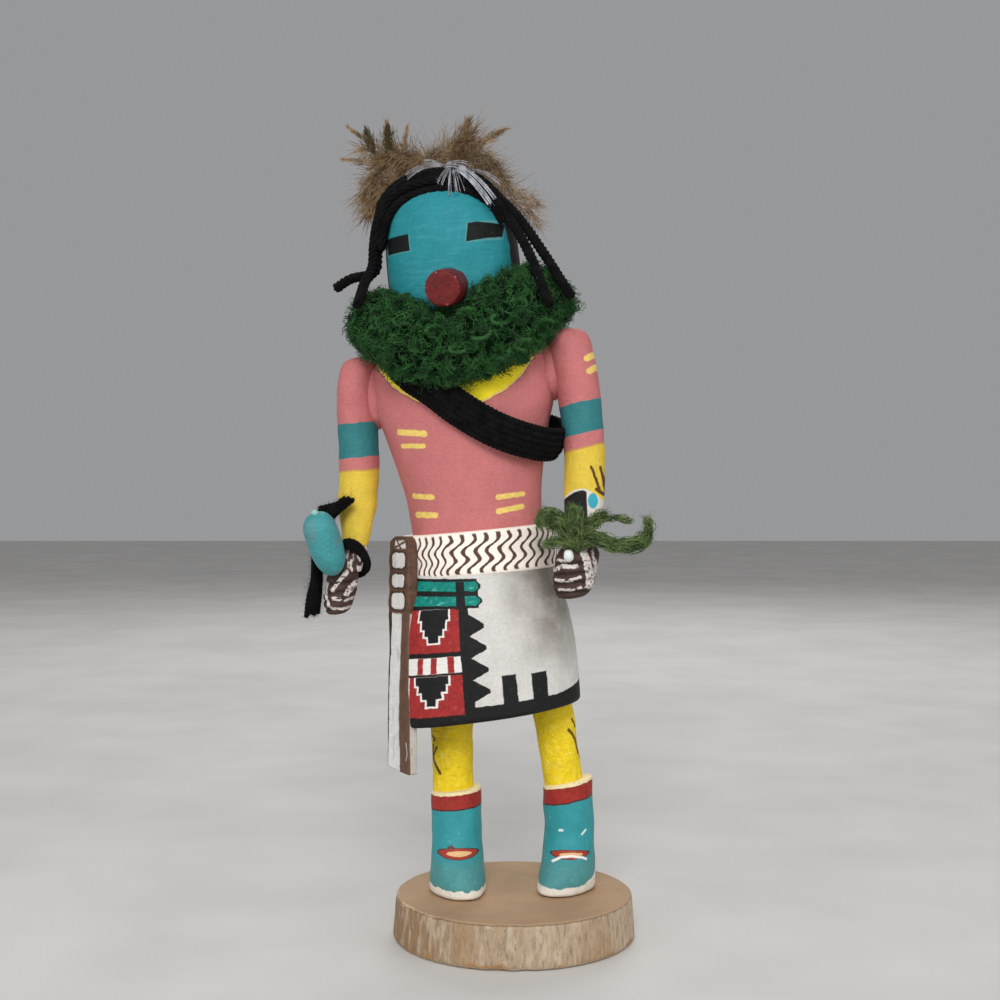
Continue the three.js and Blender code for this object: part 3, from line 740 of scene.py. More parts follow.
def belt_paint():
    """Cream with brown snaking lines, which lean over across the front."""
    p = Paint("belt_paint")
    p.colour = p.mottle(srgb(250, 240, 228), 4, 0.06)
    turn = p.angle(p.x * 0.75, p.y)
    middle = (p.z - 120.6) / 11.5
    leaning = p.ramp(turn, -42, -10) * p.ramp(turn, 68, 54)
    snake = p.sine((p.z - 114.2) * (2 * math.pi / BELT_WAVE)) * 2.7
    hook = p.ramp(p.z, 122.5, 127) ** 2 * -3.5
    across = turn - leaning * middle * 10.5 + snake + hook + p.wobble(2.5, 0.7)
    crowded = p.most(-16 - turn, 0.0) * 0.5
    place = p.part((across - crowded + 203.7) / BELT_PITCH)
    line = abs(place - 0.5) * BELT_PITCH
    width = (p.noise(2) - 0.5) * 1.2 + 1.5
    brown = p.ramp(line - width, 0.3, -0.3)
    inner = p.band(p.z, BELT_BOTTOM + 1.0, BELT_TOP - 0.7, 0.2)
    p.coat(BROWN, brown * inner)
    return painted_wood(p, roughness=0.6, relief=brown * 0.06, grain=0.7)


KILT_TERRACES = [
    # lowest and highest, then each step's edges in degrees and its bottom
    (91.8, 104.7, [(-33.6, -12.6, 101.4), (-31.4, -14.6, 98.8), (-29.4, -16.6, 96.8), (-26.6, -19.6, 94.8)]),
    (72.9, 84.9, [(-34.8, -13.8, 82.4), (-32.8, -15.6, 80.2), (-30.4, -18.4, 78.2), (-27.6, -21.8, 76.1)]),
]


def kilt_paint():
    """White cloth with a black hem and bars, and a bright panel in front of the sash."""
    p = Paint("kilt_paint")
    turn = p.angle((p.x + KILT_SHIFT) * KILT_FLATNESS, p.y) + p.wobble(2.2, 0.35)
    free = p.ramp(p.z, BELT_BOTTOM, KILT_HEM)
    height = p.z - p.x * free * KILT_RISE + p.wobble(2.2, 0.16)
    p.colour = p.mottle(WHITE, 7, 0.05)
    # Painted shadow of the left hand and arm, mixed with real dirt, in grey blotches on the doll's left of
    # the kilt; the next coat is painted shade, darker further round towards that side.
    where = p.ramp(turn, 18, 46) * p.ramp(turn, 112, 78) * p.ramp(height, 80, 100)
    grime_and_hand_shadow = p.patches(0.3, 0.62, 11, detail=3) * where
    p.coat(srgb(116, 107, 97), grime_and_hand_shadow * 0.8)
    p.coat(srgb(112, 103, 93), p.ramp(turn, 30, 62) * where * 0.55)
    smudge = p.patches(0.56, 0.74, 4, stretch=(1, 1, 1.6), detail=4)
    p.coat(srgb(190, 184, 174), smudge * 0.4)
    black = p.mottle(BLACK, 3, 0.18)

    hem = height - p.ramp(abs(turn), 55, 90) * 2.2
    p.coat(black, p.ramp(hem, 74.6, 74.35))
    for left, right, top in ((17.6, 26.6, 83.0), (36.3, 47.4, 82.4)):
        bar = p.band(turn, left, right, 0.25) * p.ramp(height, top + 0.12, top - 0.12)
        p.coat(black, bar)

    pitch = p.part((102.5 - height) / 6.6)
    tooth = p.least(pitch / 0.6, (1 - pitch) / 0.4)
    edge = p.least(p.band(height, 76.1, 102.5, 0.3) * tooth * 11.5, 9.6) + 0.8
    strip = p.ramp(turn - edge, 0.35, -0.35) * p.ramp(turn, -58.2, -57.6) * p.ramp(height, 109.4, 109.0)
    p.coat(black, strip)

    panel = p.band(turn, -56, -5.6, 0.25)
    red = p.mottle(RED, 2.5, 0.16)
    rubbed = p.patches(0.56, 0.72, 1.1, detail=3)
    red = p.blend(red, srgb(196, 84, 78), rubbed * 0.45)
    for low, high, steps in KILT_TERRACES:
        inside = p.band(height, low, high)
        p.coat(red, panel * inside)
        for grow, tint in ((1.2, srgb(236, 232, 226)), (0.0, black)):
            shape = 0.0
            for left, right, bottom in steps:
                block = p.band(turn, left - grow, right + grow, 0.25) * p.ramp(
                    height, bottom - grow * 0.42 - 0.12, bottom - grow * 0.42 + 0.12
                )
                shape = p.most(block, shape) if isinstance(shape, Term) else block
            p.coat(tint, shape * inside)
    white_band = p.band(height, 85.6, 90.4)
    p.coat(srgb(232, 228, 222), panel * white_band)
    for left, right in ((-33.8, -29.8), (-24.6, -20.8), (-13.8, -9.8)):
        p.coat(red, p.band(turn, left, right, 0.25) * white_band)
    p.coat(srgb(230, 226, 220), p.band(turn, -41.4, -40.0, 0.25) * p.band(height, 72.9, 84.9))

    tilted = height + turn * 0.024
    p.coat(black, p.band(tilted, 104.3, 113.2) * p.band(turn, -57, 8.4, 0.25))
    teal = p.mottle(TEAL, 1.4, 0.25)
    sparkle = p.patches(0.6, 0.75, 0.7, stretch=(3, 3, 1), detail=2)
    teal = p.blend(teal, srgb(120, 196, 186), sparkle * 0.7)
    for middle in (110.9, 106.55):
        off = abs(tilted - middle)
        tip = 9.8 - p.most(off - 0.4, 0.0) * 2.4
        rim = p.ramp(turn - tip, 1.4, 0.9) * p.ramp(off, 2.25, 2.05) * p.ramp(turn, -57, -56)
        p.coat(black, rim)
        fill = p.ramp(turn - tip, -0.3, -0.8) * p.ramp(off, 1.55, 1.3) * p.ramp(turn, -57, -56)
        p.coat(teal, fill)
    p.coat(black, p.band(turn, -7.4, -0.9, 0.3) * p.band(tilted, 104.0, 112.3))
    return painted_wood(p, roughness=0.62, grain=0.9)


def leg_paint(name, ends, strokes):
    p = Paint(name)
    p.colour = p.mottle(YELLOW, 4, 0.06)
    (top_x, top_z, _), (foot_x, foot_z, _) = ends
    middle = (p.z - top_z) * ((foot_x - top_x) / (foot_z - top_z)) + top_x
    turn = p.angle(p.x - middle, p.y - LEG_DEPTH) + p.wobble(2, 1.2)
    rings = p.patches(0.6, 0.75, 1.1, stretch=(6, 6, 1))
    p.coat(srgb(188, 160, 40), rings * 0.25)
    p.coat(srgb(248, 228, 104), p.patches(0.52, 0.72, 2.2, detail=5) * 0.45)
    p.coat(srgb(196, 168, 32), p.patches(0.52, 0.72, 1.6, detail=5) * 0.35)
    rough = p.noise(1.7, detail=5) * 0.7
    per_degree = math.radians(LEG_RADIUS)
    for points, half in strokes:
        arc = [(degrees * per_degree, z) for degrees, z in points]
        p.coat(MARK_BROWN, p.stroke(turn * per_degree, p.z, arc, half) * 0.95)
    return painted_wood(p, roughness=0.66, relief=rings * -0.05 + rough)


def moccasin_paint(name, red_low, red_high, slope, oval, extras, outer):
    """Turquoise with a red cuff, a cream sole edge and a slit of an oval across the instep."""
    p = Paint(name)
    p.colour = p.mottle(MOCCASIN_TURQUOISE, 5, 0.06)
    toe = p.ramp(p.z, 27, 22) * 0.8
    p.coat(p.mottle(TOE_TURQUOISE, 3, 0.08), toe)
    drops = p.patches(0.66, 0.72, 1.6, detail=2)
    p.coat(srgb(120, 190, 196), drops * 0.3)
    height = p.z - (p.x - oval[0]) * slope + p.wobble(2.2, 0.2)
    p.coat(srgb(70, 26, 22), p.band(height, red_low - 0.45, red_low + 0.1))
    red = p.mottle(BAND_RED, 2.5, 0.14)
    red = p.blend(red, srgb(92, 26, 24), p.patches(0.55, 0.72, 1.5, stretch=(1, 1, 2.5)) * 0.5)
    p.coat(red, p.band(height, red_low, red_high))
    p.coat(srgb(240, 222, 170), p.ramp(height, red_high - 0.1, red_high + 0.1))
    front = p.ramp(p.y, 3, 2)
    ox, oz, half_x, half_z, tilt = oval
    u = (p.x - ox) / half_x + p.wobble(1.5, 0.03)
    w = p.z - oz - (p.x - ox) * tilt + p.wobble(1.2, 0.1)
    ring = u**2 + (w / half_z) ** 2
    p.coat(srgb(70, 56, 52), p.ramp(ring, 1.35, 1.2) * front)
    p.coat(p.mottle(OVAL_RED, 1, 0.15), p.ramp(ring, 1.08, 0.95) * front)
    core = (u / 0.66 - 0.08) ** 2 + ((w + 0.05) / (half_z * 0.52)) ** 2
    p.coat(OVAL_CREAM, p.ramp(core, 1.1, 0.9) * front)
    for points, half, tint in extras:
        p.coat(tint, p.stroke(p.x, p.z, points, half) * front)
    edge = p.z + p.wobble(2.4, 0.5) - p.ramp(p.y, -6, 4) * 1.2 - p.ramp(p.x, ox + 4, ox + 8) * outer
    p.coat(p.mottle(srgb(236, 230, 218), 2, 0.08), p.ramp(edge, SOLE + 3.0, SOLE + 2.7))
    return painted_wood(p, roughness=0.5, grain=0.7)


RIGHT_HAND_MARKS = [
    # brush strokes of white: points of (x, height), half width
    ([(-45.5, 115.6), (-45.9, 112.0), (-45.0, 108.6)], 0.5),
    ([(-43.4, 113.2), (-41.4, 115.4), (-38.6, 118.4)], 0.6),
    ([(-43.0, 110.6), (-41.4, 110.4)], 0.75), ([(-39.2, 111.8), (-36.9, 114.8)], 0.7),
    ([(-44.2, 107.8), (-41.4, 107.2), (-38.4, 107.6)], 0.4), ([(-39.8, 109.8), (-37.4, 110.2)], 0.45),
    ([(-38.6, 124.4), (-37.4, 122.2), (-37.6, 120.2)], 0.9), ([(-36.2, 123.0), (-36.6, 119.6)], 0.5),
]
LEFT_HAND_MARKS = [
    ([(25.7, 113.4), (28.6, 114.6), (33.2, 114.2)], 0.6),
    ([(26.2, 110.6), (30.2, 110.2), (34.0, 110.8)], 0.5),
    ([(27.2, 107.7), (31.0, 107.4), (34.8, 107.8)], 0.4),
    ([(35.4, 119.6), (36.4, 115.2), (36.8, 111.2), (36.2, 108.0)], 1.1),
    ([(38.0, 118.4), (38.4, 114.4), (38.0, 111.0)], 0.4), ([(27.2, 116.4), (30.2, 116.0)], 0.4),
]


LEFT_ARM_MARKS = [
    ([(39.0, 143.6), (40.2, 139.5), (41.2, 135.6)], 0.42), ([(41.6, 143.2), (42.3, 139), (42.4, 135)], 0.4),
]
LEFT_ARM_DASHES = [([(40.6, 177.0), (42.8, 178.4)], 0.95), ([(41.0, 173.0), (43.0, 174.4)], 0.9)]
RIGHT_LEG_MARKS = [
    # points of (degrees round the leg, height), half width
    ([(-72, 61.6), (-54, 60.8), (-62, 60.0)], 0.4),
    ([(-66, 58.6), (-70, 56.4), (-60, 53.8), (-38, 50.2)], 0.6),
    ([(-46, 58.2), (-62, 55.6)], 0.5),
]
LEFT_LEG_MARKS = [
    ([(56, 67.2), (70, 64.4)], 0.45),
    ([(38, 63.8), (52, 62.4), (65, 60.4), (66, 56.4)], 0.62),
    ([(77, 61.4), (70, 58.2), (74, 54.6)], 0.4),
]


def fist_paint(name, fist, marks):
    """Dark brown, with white brush strokes along the fingers."""
    p = Paint(name)
    p.colour = p.mottle(HAND_BROWN, 3, 0.2)
    part = (fist["top"] - p.z) / fist["height"]
    wave = p.wobble(1.8, 0.02)
    for at in FINGER_GROOVES:
        p.coat(srgb(44, 31, 28), p.band(part + wave, at - 0.03, at + 0.03, 0.012) * 0.85)
    white = p.mottle(srgb(214, 205, 200), 1.5, 0.08)
    broken = p.patches(0.36, 0.46, 0.9, stretch=(1.4, 1, 1), detail=3)
    u, w = p.x + p.wobble(1.3, 0.28), p.z + p.wobble(1.3, 0.28)
    front = p.ramp(p.y, fist["y"] + 1.5, fist["y"] + 0.5)
    for points, half in marks:
        p.coat(white, p.stroke(u, w, points, half) * broken * front)
    across = p.patches(0.54, 0.6, 2.4, stretch=(2, 2, 0.5), detail=2) * (1 - front)
    p.coat(white, across)
    return painted_wood(p, roughness=0.6)


# ---- The carved figure ----

SHOULDER_WEBS = {
    # where the carver left wood between an arm and the trunk
    "right": [[183.0, 0.5, 0.6, -27.8, 0.4], [181.8, 2.8, 3.4, -27.8, 0.2], [178, 4.0, 5.0, -28.0, 0.0],
              [171, 4.2, 5.7, -28.3, 0.0], [166, 3.2, 4.4, -28.4, 0.2], [162, 0.3, 0.5, -28.6, 0.6]],
    "left": [[184.2, 0.5, 0.6, 28.2, 0.4], [183.0, 2.8, 3.4, 28.2, 0.2], [179, 4.0, 5.0, 28.4, 0.0],
             [173, 4.2, 5.6, 28.6, 0.0], [168.5, 2.8, 4.0, 28.8, 0.2], [165.5, 0.3, 0.5, 28.8, 0.6]],
}


def figure():
    carved_piece("torso", loft(TORSO_ROWS, 96, 0.9, whittled(0.2, 14, 3)), torso_paint())
    carved_piece("kilt", loft(KILT_ROWS, 128, 0.8, kilt_form), kilt_paint())
    carved_piece("belt", loft(BELT_ROWS, 128, 0.5, whittled(0.12, 8, 6)), belt_paint())
    carved_piece("head", loft(HEAD_ROWS, 96, 0.9, whittled(0.1, 12, 7)), head_paint())
    arm = whittled(0.12, 8, 9)
    right_paint = arm_paint("right_arm_paint", (164.6, 153.6, 149.6, 0.0), (), (), False)
    carved_piece("right_arm", loft(RIGHT_ARM_ROWS, 48, 0.9, arm), right_paint)
    left_paint = arm_paint(
        "left_arm_paint", (158.2, 148.6, 144.2, 0.15),
        LEFT_ARM_MARKS, LEFT_ARM_DASHES, True,
    )
    carved_piece("left_arm", loft(LEFT_ARM_ROWS, 48, 0.9, arm), left_paint)
    for side, rows in SHOULDER_WEBS.items():
        web = plain_paint(side + "_shoulder_paint", PINK, 5, 0.05, roughness=0.65)
        carved_piece(side + "_shoulder", loft(rows, 40, 0.6, arm), web)
    for name, fist, marks in (
        ("right_fist", RIGHT_FIST, RIGHT_HAND_MARKS), ("left_fist", LEFT_FIST, LEFT_HAND_MARKS),
    ):
        form = loft(fist_rows(**fist), 56, 0.4, fist_form(**fist))
        carved_piece(name, form, fist_paint(name + "_paint", fist, marks))
    thumb = [[119.6, 0.2, 0.2], [119.3, 0.9, 0.8], [118.4, 1.4, 1.3], [117.2, 1.5, 1.4], [116.2, 1.1, 1.0],
             [115.7, 0.2, 0.2]]
    thumb = loft([row + [31.1, -21.3] for row in thumb], 24, 0.3)
    carved_piece("left_thumb", thumb, plain_paint("thumb_paint", srgb(226, 232, 230), 1, 0.08))

    for name, ends, marks in (
        ("right_leg", RIGHT_LEG, RIGHT_LEG_MARKS), ("left_leg", LEFT_LEG, LEFT_LEG_MARKS),
    ):
        form = loft(leg_rows(ends), 56, 0.7, whittled(0.16, 7, 12))
        carved_piece(name, form, leg_paint(name + "_paint", ends, marks), place=WORLD)
    chip = srgb(226, 236, 234)
    right = moccasin_paint(
        "right_moccasin_paint", 39.6, 43.9, 0.1, (-17.5, 26.5, 5.9, 1.45, 0.0),
        (([(-20.6, 28.0), (-19.6, 28.6), (-18.8, 28.0)], 0.3, srgb(96, 50, 44)),), 0.0,
    )
    left = moccasin_paint(
        "left_moccasin_paint", 41.5, 46.2, 0.2, (17.6, 25.6, 5.6, 1.15, -0.02),
        (([(12.0, 23.8), (14.6, 25.0), (18.0, 25.3), (21.4, 24.6), (22.6, 23.9)], 0.3, srgb(244, 240, 234)),
         ([(14.3, 32.5), (15.2, 32.6)], 0.35, chip), ([(21.4, 31.2), (22.6, 32.4)], 0.3, chip)), 1.6,
    )
    carved_piece("right_moccasin", moccasin(**RIGHT_FOOT), right, WORLD)
    carved_piece("left_moccasin", moccasin(**LEFT_FOOT), left, WORLD)


# ---- The base ----

# chips out of the foot: the angle round it, how wide
BASE_CHIPS = [(-1.70, 0.07), (-1.49, 0.05), (0.8, 0.08)]


def base():
    """A disc of cottonwood with a sawn top and a streaked, roughly sanded side."""
    radius = BASE_FOOT - BASE_TAPER
    rows = [
        [0, BASE_FOOT - 1.2], [0.2, BASE_FOOT - 0.5], [0.8, BASE_FOOT - 0.05], [6.5, BASE_FOOT - 0.45],
        [BASE_TOP - 1.0, radius + 0.05], [BASE_TOP - 0.5, radius - 0.05], [BASE_TOP - 0.15, radius - 0.3],
        [BASE_TOP, radius - 0.8], [BASE_TOP, radius - 4], [BASE_TOP, 24], [BASE_TOP, 12], [BASE_TOP, 1],
    ]
    rows = [[z, r, r] for z, r in rows]

    def shape(grid):
        out = unit(grid * [1, 1, 0])
        rim = np.clip((np.linalg.norm(grid[..., :2], axis=-1) - radius + 1.5) / 1.5, 0, 1)
        round_the_side = grid * [1, 1, 0.12]
        streak = ripple(round_the_side, 2.2, 21) * 0.05 + ripple(round_the_side, 6, 22) * 0.1
        low = np.clip((1.6 - grid[..., 2]) / 1.6, 0, 1)
        angle = np.arctan2(grid[..., 1], grid[..., 0])
        chips = sum(np.exp(-(((angle - at) / wide) ** 2)) for at, wide in BASE_CHIPS)
        inward = np.minimum(streak - 0.1, 0) * rim + low * chips * -0.9
        return grid + out * inward[..., None]

    form = loft(rows, 220, 1.0, shape)
    p = Paint("base_wood")
    round_way = p.math("ARCTAN2", p.y, p.x) * BASE_RADIUS
    spread = p.node("ShaderNodeCombineXYZ")
    for socket, value in zip(spread.inputs, (round_way, p.z * 0.22, 0.0)):
        p.feed(socket, value)
    around = spread.outputs[0]
    p.colour = p.mottle(srgb(178, 147, 115), 9, 0.06)
    p.coat(srgb(140, 112, 86), p.patches(0.58, 0.75, 0.8, detail=3) * 0.35)
    p.coat(srgb(118, 84, 62), p.patches(0.72, 0.76, 2.6, detail=1) * 0.5)
    top = p.colour
    p.colour = p.mottle(srgb(178, 155, 128), 12, 0.08)
    # Painted shade and painted light: the side is darker towards the doll's right and lighter towards its
    # left.
    p.coat(srgb(146, 114, 80), p.ramp(p.x, -8, -30) * 0.8)
    p.coat(srgb(196, 174, 148), p.ramp(p.x, 4, 26) * 0.7)
    p.coat(srgb(204, 188, 166), p.patches(0.5, 0.62, 1.6, place=around, detail=5) * 0.55)
    p.coat(srgb(132, 110, 94), p.patches(0.52, 0.66, 1.1, place=around, detail=6) * 0.5)
    p.coat(srgb(160, 128, 92), p.patches(0.54, 0.66, 8, place=around, detail=3) * 0.6)
    flecks = p.patches(0.62, 0.7, 0.7, stretch=(1, 1, 3.4), detail=3)
    p.coat(srgb(104, 88, 80), flecks * p.ramp(p.x, -30, -8) * 0.6)
    torn = p.noise(4, detail=4) * 5 + p.patches(0.45, 0.6, 9, detail=1) * 2 - 2.6
    p.coat(srgb(172, 130, 86), p.ramp(torn - p.z, 0.1, 0.3) * 0.8)
    p.coat(srgb(206, 190, 168), p.ramp(p.z, 0.9, 0.4) * 0.6)
    side = p.colour
    out = p.root(p.x * p.x + p.y * p.y)
    level = p.z - p.ramp(out, radius - 1.5, radius) * 0.9 + p.wobble(3, 0.25)
    on_side = p.ramp(level, BASE_TOP - 0.9, BASE_TOP - 1.5)
    p.colour = p.blend(top, side, on_side)
    # A pale line along the top edge towards the doll's right: partly wear, partly a painted highlight.
    rim_wear_and_highlight = p.band(out + p.wobble(2.5, 0.35), radius - 0.9, radius - 0.1, 0.2)
    rim_wear_and_highlight = rim_wear_and_highlight * p.ramp(p.z, BASE_TOP - 1.4, BASE_TOP - 1)
    p.coat(srgb(226, 206, 174), rim_wear_and_highlight * p.patches(0.5, 0.62, 6, detail=2) * p.ramp(p.x, 12, -8) * 0.6)
    bark = p.noise(0.9, place=around, detail=5) * 0.7 + p.noise(1.6, stretch=(1, 1, 2), detail=4) * 0.7
    height = bark * on_side + p.noise(0.6, detail=3) * 0.16
    piece("round_base", form, p.finish(0.78, height), WORLD, "base")


# ---- The sash ----

SASH = {
    "width": 11.4, "thickness": 3.4, "turn": 46,
    "top": (-20.6, -11.2, 127.4), "bottom": (-27.8, -16.1, 56.0),
}

# where the cloth is knotted: lowest and highest, and its left and right edges
SASH_BLOCKS = [(49.2, 54.3, -4.6, 3.2), (56.0, 60.1, -4.6, 2.8), (62.0, 66.8, -4.7, 3.1)]
SASH_SHIFT = Vector((1.1, 1.4, 0))


def sash():
    """A flat slat from the belt to below the hem, painted as knotted and striped cloth."""
    top, bottom = Vector(SASH["top"]), Vector(SASH["bottom"])
    length = (top - bottom).length
    spin = Vector((0, 0, 1)).rotation_difference(top - bottom).to_matrix().to_4x4()
    hung = Matrix.Translation(SASH_SHIFT * MM) @ TRUNK @ Matrix.Translation(bottom * MM)
    place = hung @ spin @ Matrix.Rotation(math.radians(-SASH["turn"]), 4, "Z")
    half, thick = SASH["width"] / 2, SASH["thickness"]
    ring = rounded_rectangle(half, thick, 0.5)
    levels = np.linspace(0, length, 130)
    grid = np.array([np.column_stack([ring, np.full(len(ring), level)]) for level in levels])
    end = np.clip((grid[..., 2] - (length - 3)) / 3, 0, 1)
    grid[..., 0] *= 1 - 0.55 * end**2.5
    grid[..., 2] -= np.clip(1 - grid[..., 2] / 4, 0, 1) * (grid[..., 0] / half + 1) * 0.6
    level = grid[..., 2]
    narrow = 1 - 0.10 * np.exp(-(((level - length * 0.52) / 9) ** 2))
    knotted = np.clip((level - 46) / 2, 0, 1) * (0.3 * np.cos(2 * math.pi * (level - 51.6) / 6.4) + 0.1)
    right_edge = np.interp(level, [0, 12, 30, 50, 72], [1.6, 0.9, 0.3, -0.2, -0.5])
    left_edge = np.interp(level, [0, 20, 46, 72], [0.0, 0.5, 1.0, 1.2]) + knotted
    share = grid[..., 0] / half
    grid[..., 0] = grid[..., 0] * narrow + np.where(share > 0, right_edge, left_edge) * share
    grid = whittled(0.12, 6, 31)(grid)

    p = Paint("sash_paint")
    u, w = p.x + p.wobble(2.6, 0.22), p.z + p.wobble(2.2, 0.25)
    white = p.mottle(srgb(222, 219, 216), 3, 0.06)
    brown = p.mottle(srgb(100, 72, 56), 2.5, 0.16)
    dark = p.mottle(srgb(58, 42, 34), 2.5, 0.16)
    worn = p.patches(0.55, 0.72, 2.4, stretch=(1, 1, 3), detail=3)
    p.colour = p.blend(white, srgb(168, 160, 154), worn * 0.6)
    inner = 1.3 + p.ramp(w, 12, 3) * 1.2 + p.ramp(w, 25, 45) * 0.6
    p.coat(dark, p.band(u - inner, -0.35, 0.4, 0.15) * 0.8)
    p.coat(brown, p.ramp(u - inner, -0.05, 0.2))
    p.coat(white, p.stroke(u, w, [(5.5, 8.2), (6.3, 5.4), (5.9, 3.2)], 0.22) * 0.7)
    p.coat(dark, p.ramp(u + 5.1 - p.ramp(w, 25, 44) * 0.9, 0.15, -0.15))
    upper = p.ramp(w, 47.6, 48.2)
    blocks = p.blend(brown, dark, p.patches(0.45, 0.6, 1.8, detail=2) * 0.35)
    for low, high, left, right in SASH_BLOCKS:
        along = abs(w - (low + high) / 2) / ((high - low) / 2)
        across = abs(u - (left + right) / 2) / ((right - left) / 2)
        inside = along**4 + across**4
        blocks = p.blend(blocks, dark, p.ramp(inside, 2.6, 1.9) * 0.85)
        blocks = p.blend(blocks, white, p.ramp(inside, 1.15, 0.85))
    knot = p.band(w, 68.2, 70.6, 0.3) * p.band(u, -3.0, 3.4, 0.3)
    cross = p.most(p.band(u + (w - 69) * 0.9, -0.9, 0.1), p.band(w - u * 0.3, 69.0, 69.7))
    blocks = p.blend(blocks, white, knot * (1 - cross))
    raised = p.fold("ADD", [p.band(w, low, high, 0.5) for low, high, _, _ in SASH_BLOCKS])
    p.coat(blocks, upper)
    face = p.most(p.ramp(p.y, -thick + 0.9, -thick + 0.5), upper)
    edge = p.mottle(srgb(196, 188, 178), 3, 0.08)
    edge = p.blend(edge, srgb(130, 118, 104), p.patches(0.56, 0.72, 1.2, stretch=(1, 1, 5), detail=3) * 0.7)
    p.colour = p.blend(edge, p.colour, face)
    relief = raised * upper * 0.35
    piece("sash_slat", sheet_of(grid), painted_wood(p, relief=relief), place, "sash")


def rounded_rectangle(half, thick, radius, steps=6):
    """The outline of a slat's section: back face at y = 0, front face at y = -thick."""
    centres = [(half - radius, -radius, 90, 0), (half - radius, -thick + radius, 0, -90),
               (-half + radius, -thick + radius, -90, -180), (-half + radius, -radius, 180, 90)]
    outline = []
    for x, y, start, end in centres:
        for turn in np.radians(np.linspace(start, end, steps)):
            outline.append((x + radius * math.cos(turn), y + radius * math.sin(turn)))
    dense = []
    for (ax, ay), (bx, by) in zip(outline, outline[1:] + outline[:1]):
        count = max(int(math.hypot(bx - ax, by - ay) / 0.6), 1)
        dense += [(ax + (bx - ax) * k / count, ay + (by - ay) * k / count) for k in range(count)]
    return np.array(dense)


# ---- Turned pieces: snout and rattle ----

def turned(profile, start, axis, sides=64, shape=None):
    """A lathe form of (distance along, radius) rows about an axis from start."""
    axis = unit(np.array(axis, float))
    side = unit(np.cross(axis, UP))
    front = np.cross(side, axis)
    profile = np.array(profile, float)
    travel = np.concatenate([[0], np.cumsum(np.linalg.norm(np.diff(profile, axis=0), axis=1))])
    at = np.linspace(0, travel[-1], int(travel[-1] / 0.4) + 2)
    rows = smooth_through(travel, profile, at)
    angle = np.linspace(0, 2 * math.pi, sides, endpoint=False)[None, :, None]
    along, radius = rows[:, 0][:, None, None], np.maximum(rows[:, 1], 0.02)[:, None, None]
    across = np.cos(angle) * side + np.sin(angle) * front
    grid = np.array(start, float) + along * axis + radius * across
    if shape:
        grid = shape(grid, across)
    return sheet_of(grid)


def hand_turned(size, seed):
    """A shape that lets a turned form wander a little."""
    return lambda grid, out: grid + out * ripple(grid, size, seed)[..., None] * 0.1


SNOUT_ROOT = np.array([2.4, -16.0, 202.5])
SNOUT_TIP = np.array([2.4, -31.0, 200.3])


def snout():
    length = np.linalg.norm(SNOUT_TIP - SNOUT_ROOT)
    rows = [
        (0, 5.8), (2, 5.7), (length - 1.5, 5.55), (length - 0.8, 5.4), (length - 0.3, 5.1),
        (length - 0.08, 4.7), (length, 3.8), (length, 0.1),
    ]
    form = turned(rows, SNOUT_ROOT, SNOUT_TIP - SNOUT_ROOT, 72, hand_turned(3.5, 41))
    p = Paint("snout_paint")
    p.colour = p.mottle(SNOUT_RED, 2.5, 0.16)
    p.coat(srgb(70, 18, 20), p.patches(0.52, 0.7, 1.3, detail=3) * 0.6)
    off_x, off_z = p.x - 2.4, p.z - 200.4
    out = p.root(off_x * off_x + off_z * off_z)
    worn = p.band(out, 4.8, 5.8, 0.25) * p.patches(0.58, 0.64, 0.9, detail=3) * p.ramp(p.y, -29, -30)
    p.coat(srgb(196, 110, 104), worn * 0.7)
    p.coat(srgb(60, 14, 18), p.stroke(p.x, p.z, [(0.5, 200.9), (0.75, 201.0)], 0.35))
    p.coat(srgb(72, 20, 24), p.stroke(p.x, p.z, [(0.2, 202.9), (1.6, 203.4)], 0.2) * 0.7)
    height = p.noise(0.5, detail=3) * 0.12 + p.noise(2, detail=2) * 0.35
    piece("snout_peg", form, p.finish(0.48, height), stands_for="snout")


RATTLE_HAND = np.array([-41.28, -16.2, 110.6])
RATTLE_AXIS = unit(np.array([-1.8, -7.4, 17.0]))
GOURD_HALF = 10.7
GOURD_RADIUS = 5.3
GOURD_OFF_HAND = 18.8


def rattle():
    """A gourd on a handle, blunter at its far end, with a bead on its tip."""
    gourd = []
    for share in -np.cos(np.linspace(0, math.pi, 33)):
        blunt = 4.4 if share > 0 else 2.3
        gourd.append((GOURD_HALF * share, GOURD_RADIUS * math.sqrt(max(1 - abs(share) ** blunt, 0))))
    middle = RATTLE_HAND + RATTLE_AXIS * GOURD_OFF_HAND
    form = turned(gourd, middle, RATTLE_AXIS, 64, hand_turned(6, 43))
    p = Paint("rattle_paint")
    p.colour = p.mottle(srgb(69, 152, 156), 4, 0.08)
    p.coat(srgb(104, 138, 146), p.patches(0.5, 0.66, 6, detail=2) * 0.6)
    p.coat(srgb(38, 98, 98), p.patches(0.6, 0.75, 0.9, detail=3) * 0.45)
    height = p.noise(0.8, detail=4) * 0.5
    piece("rattle_gourd", form, p.finish(0.5, height), stands_for="rattle")
    bead = [(-0.4, 0.9), (0.1, 1.15), (0.6, 1.05), (1.0, 0.7), (1.1, 0.1)]
    tip = turned(bead, middle + RATTLE_AXIS * GOURD_HALF, RATTLE_AXIS, 32)
    piece("rattle_bead", tip, plain_paint("bead_paint", srgb(150, 196, 190), 1, 0.16))
    stick = turned([(-1.9, 1.3), (2, 1.4), (8, 1.4), (10.4, 2.0)], RATTLE_HAND, RATTLE_AXIS, 32)
    piece("rattle_handle", stick, plain_paint("handle_paint", srgb(44, 34, 32), 2, 0.2))


# ---- Yarn ----

def yarn_material(name, deep, light, sheen=0.35, streak=0.35):
    """Wool: dark between its fibres, paler where they catch the light."""
    p = Paint(name)
    fibres = p.patches(0.35, 0.68, 0.32, detail=3)
    patches = p.patches(0.35, 0.7, 3.2, detail=2)
    p.colour = p.blend(deep, light, fibres * streak + patches * (1 - streak) * 0.9)
    return p.finish(0.95, p.noise(0.25, detail=2) * 0.25, sheen, specular=0.06)


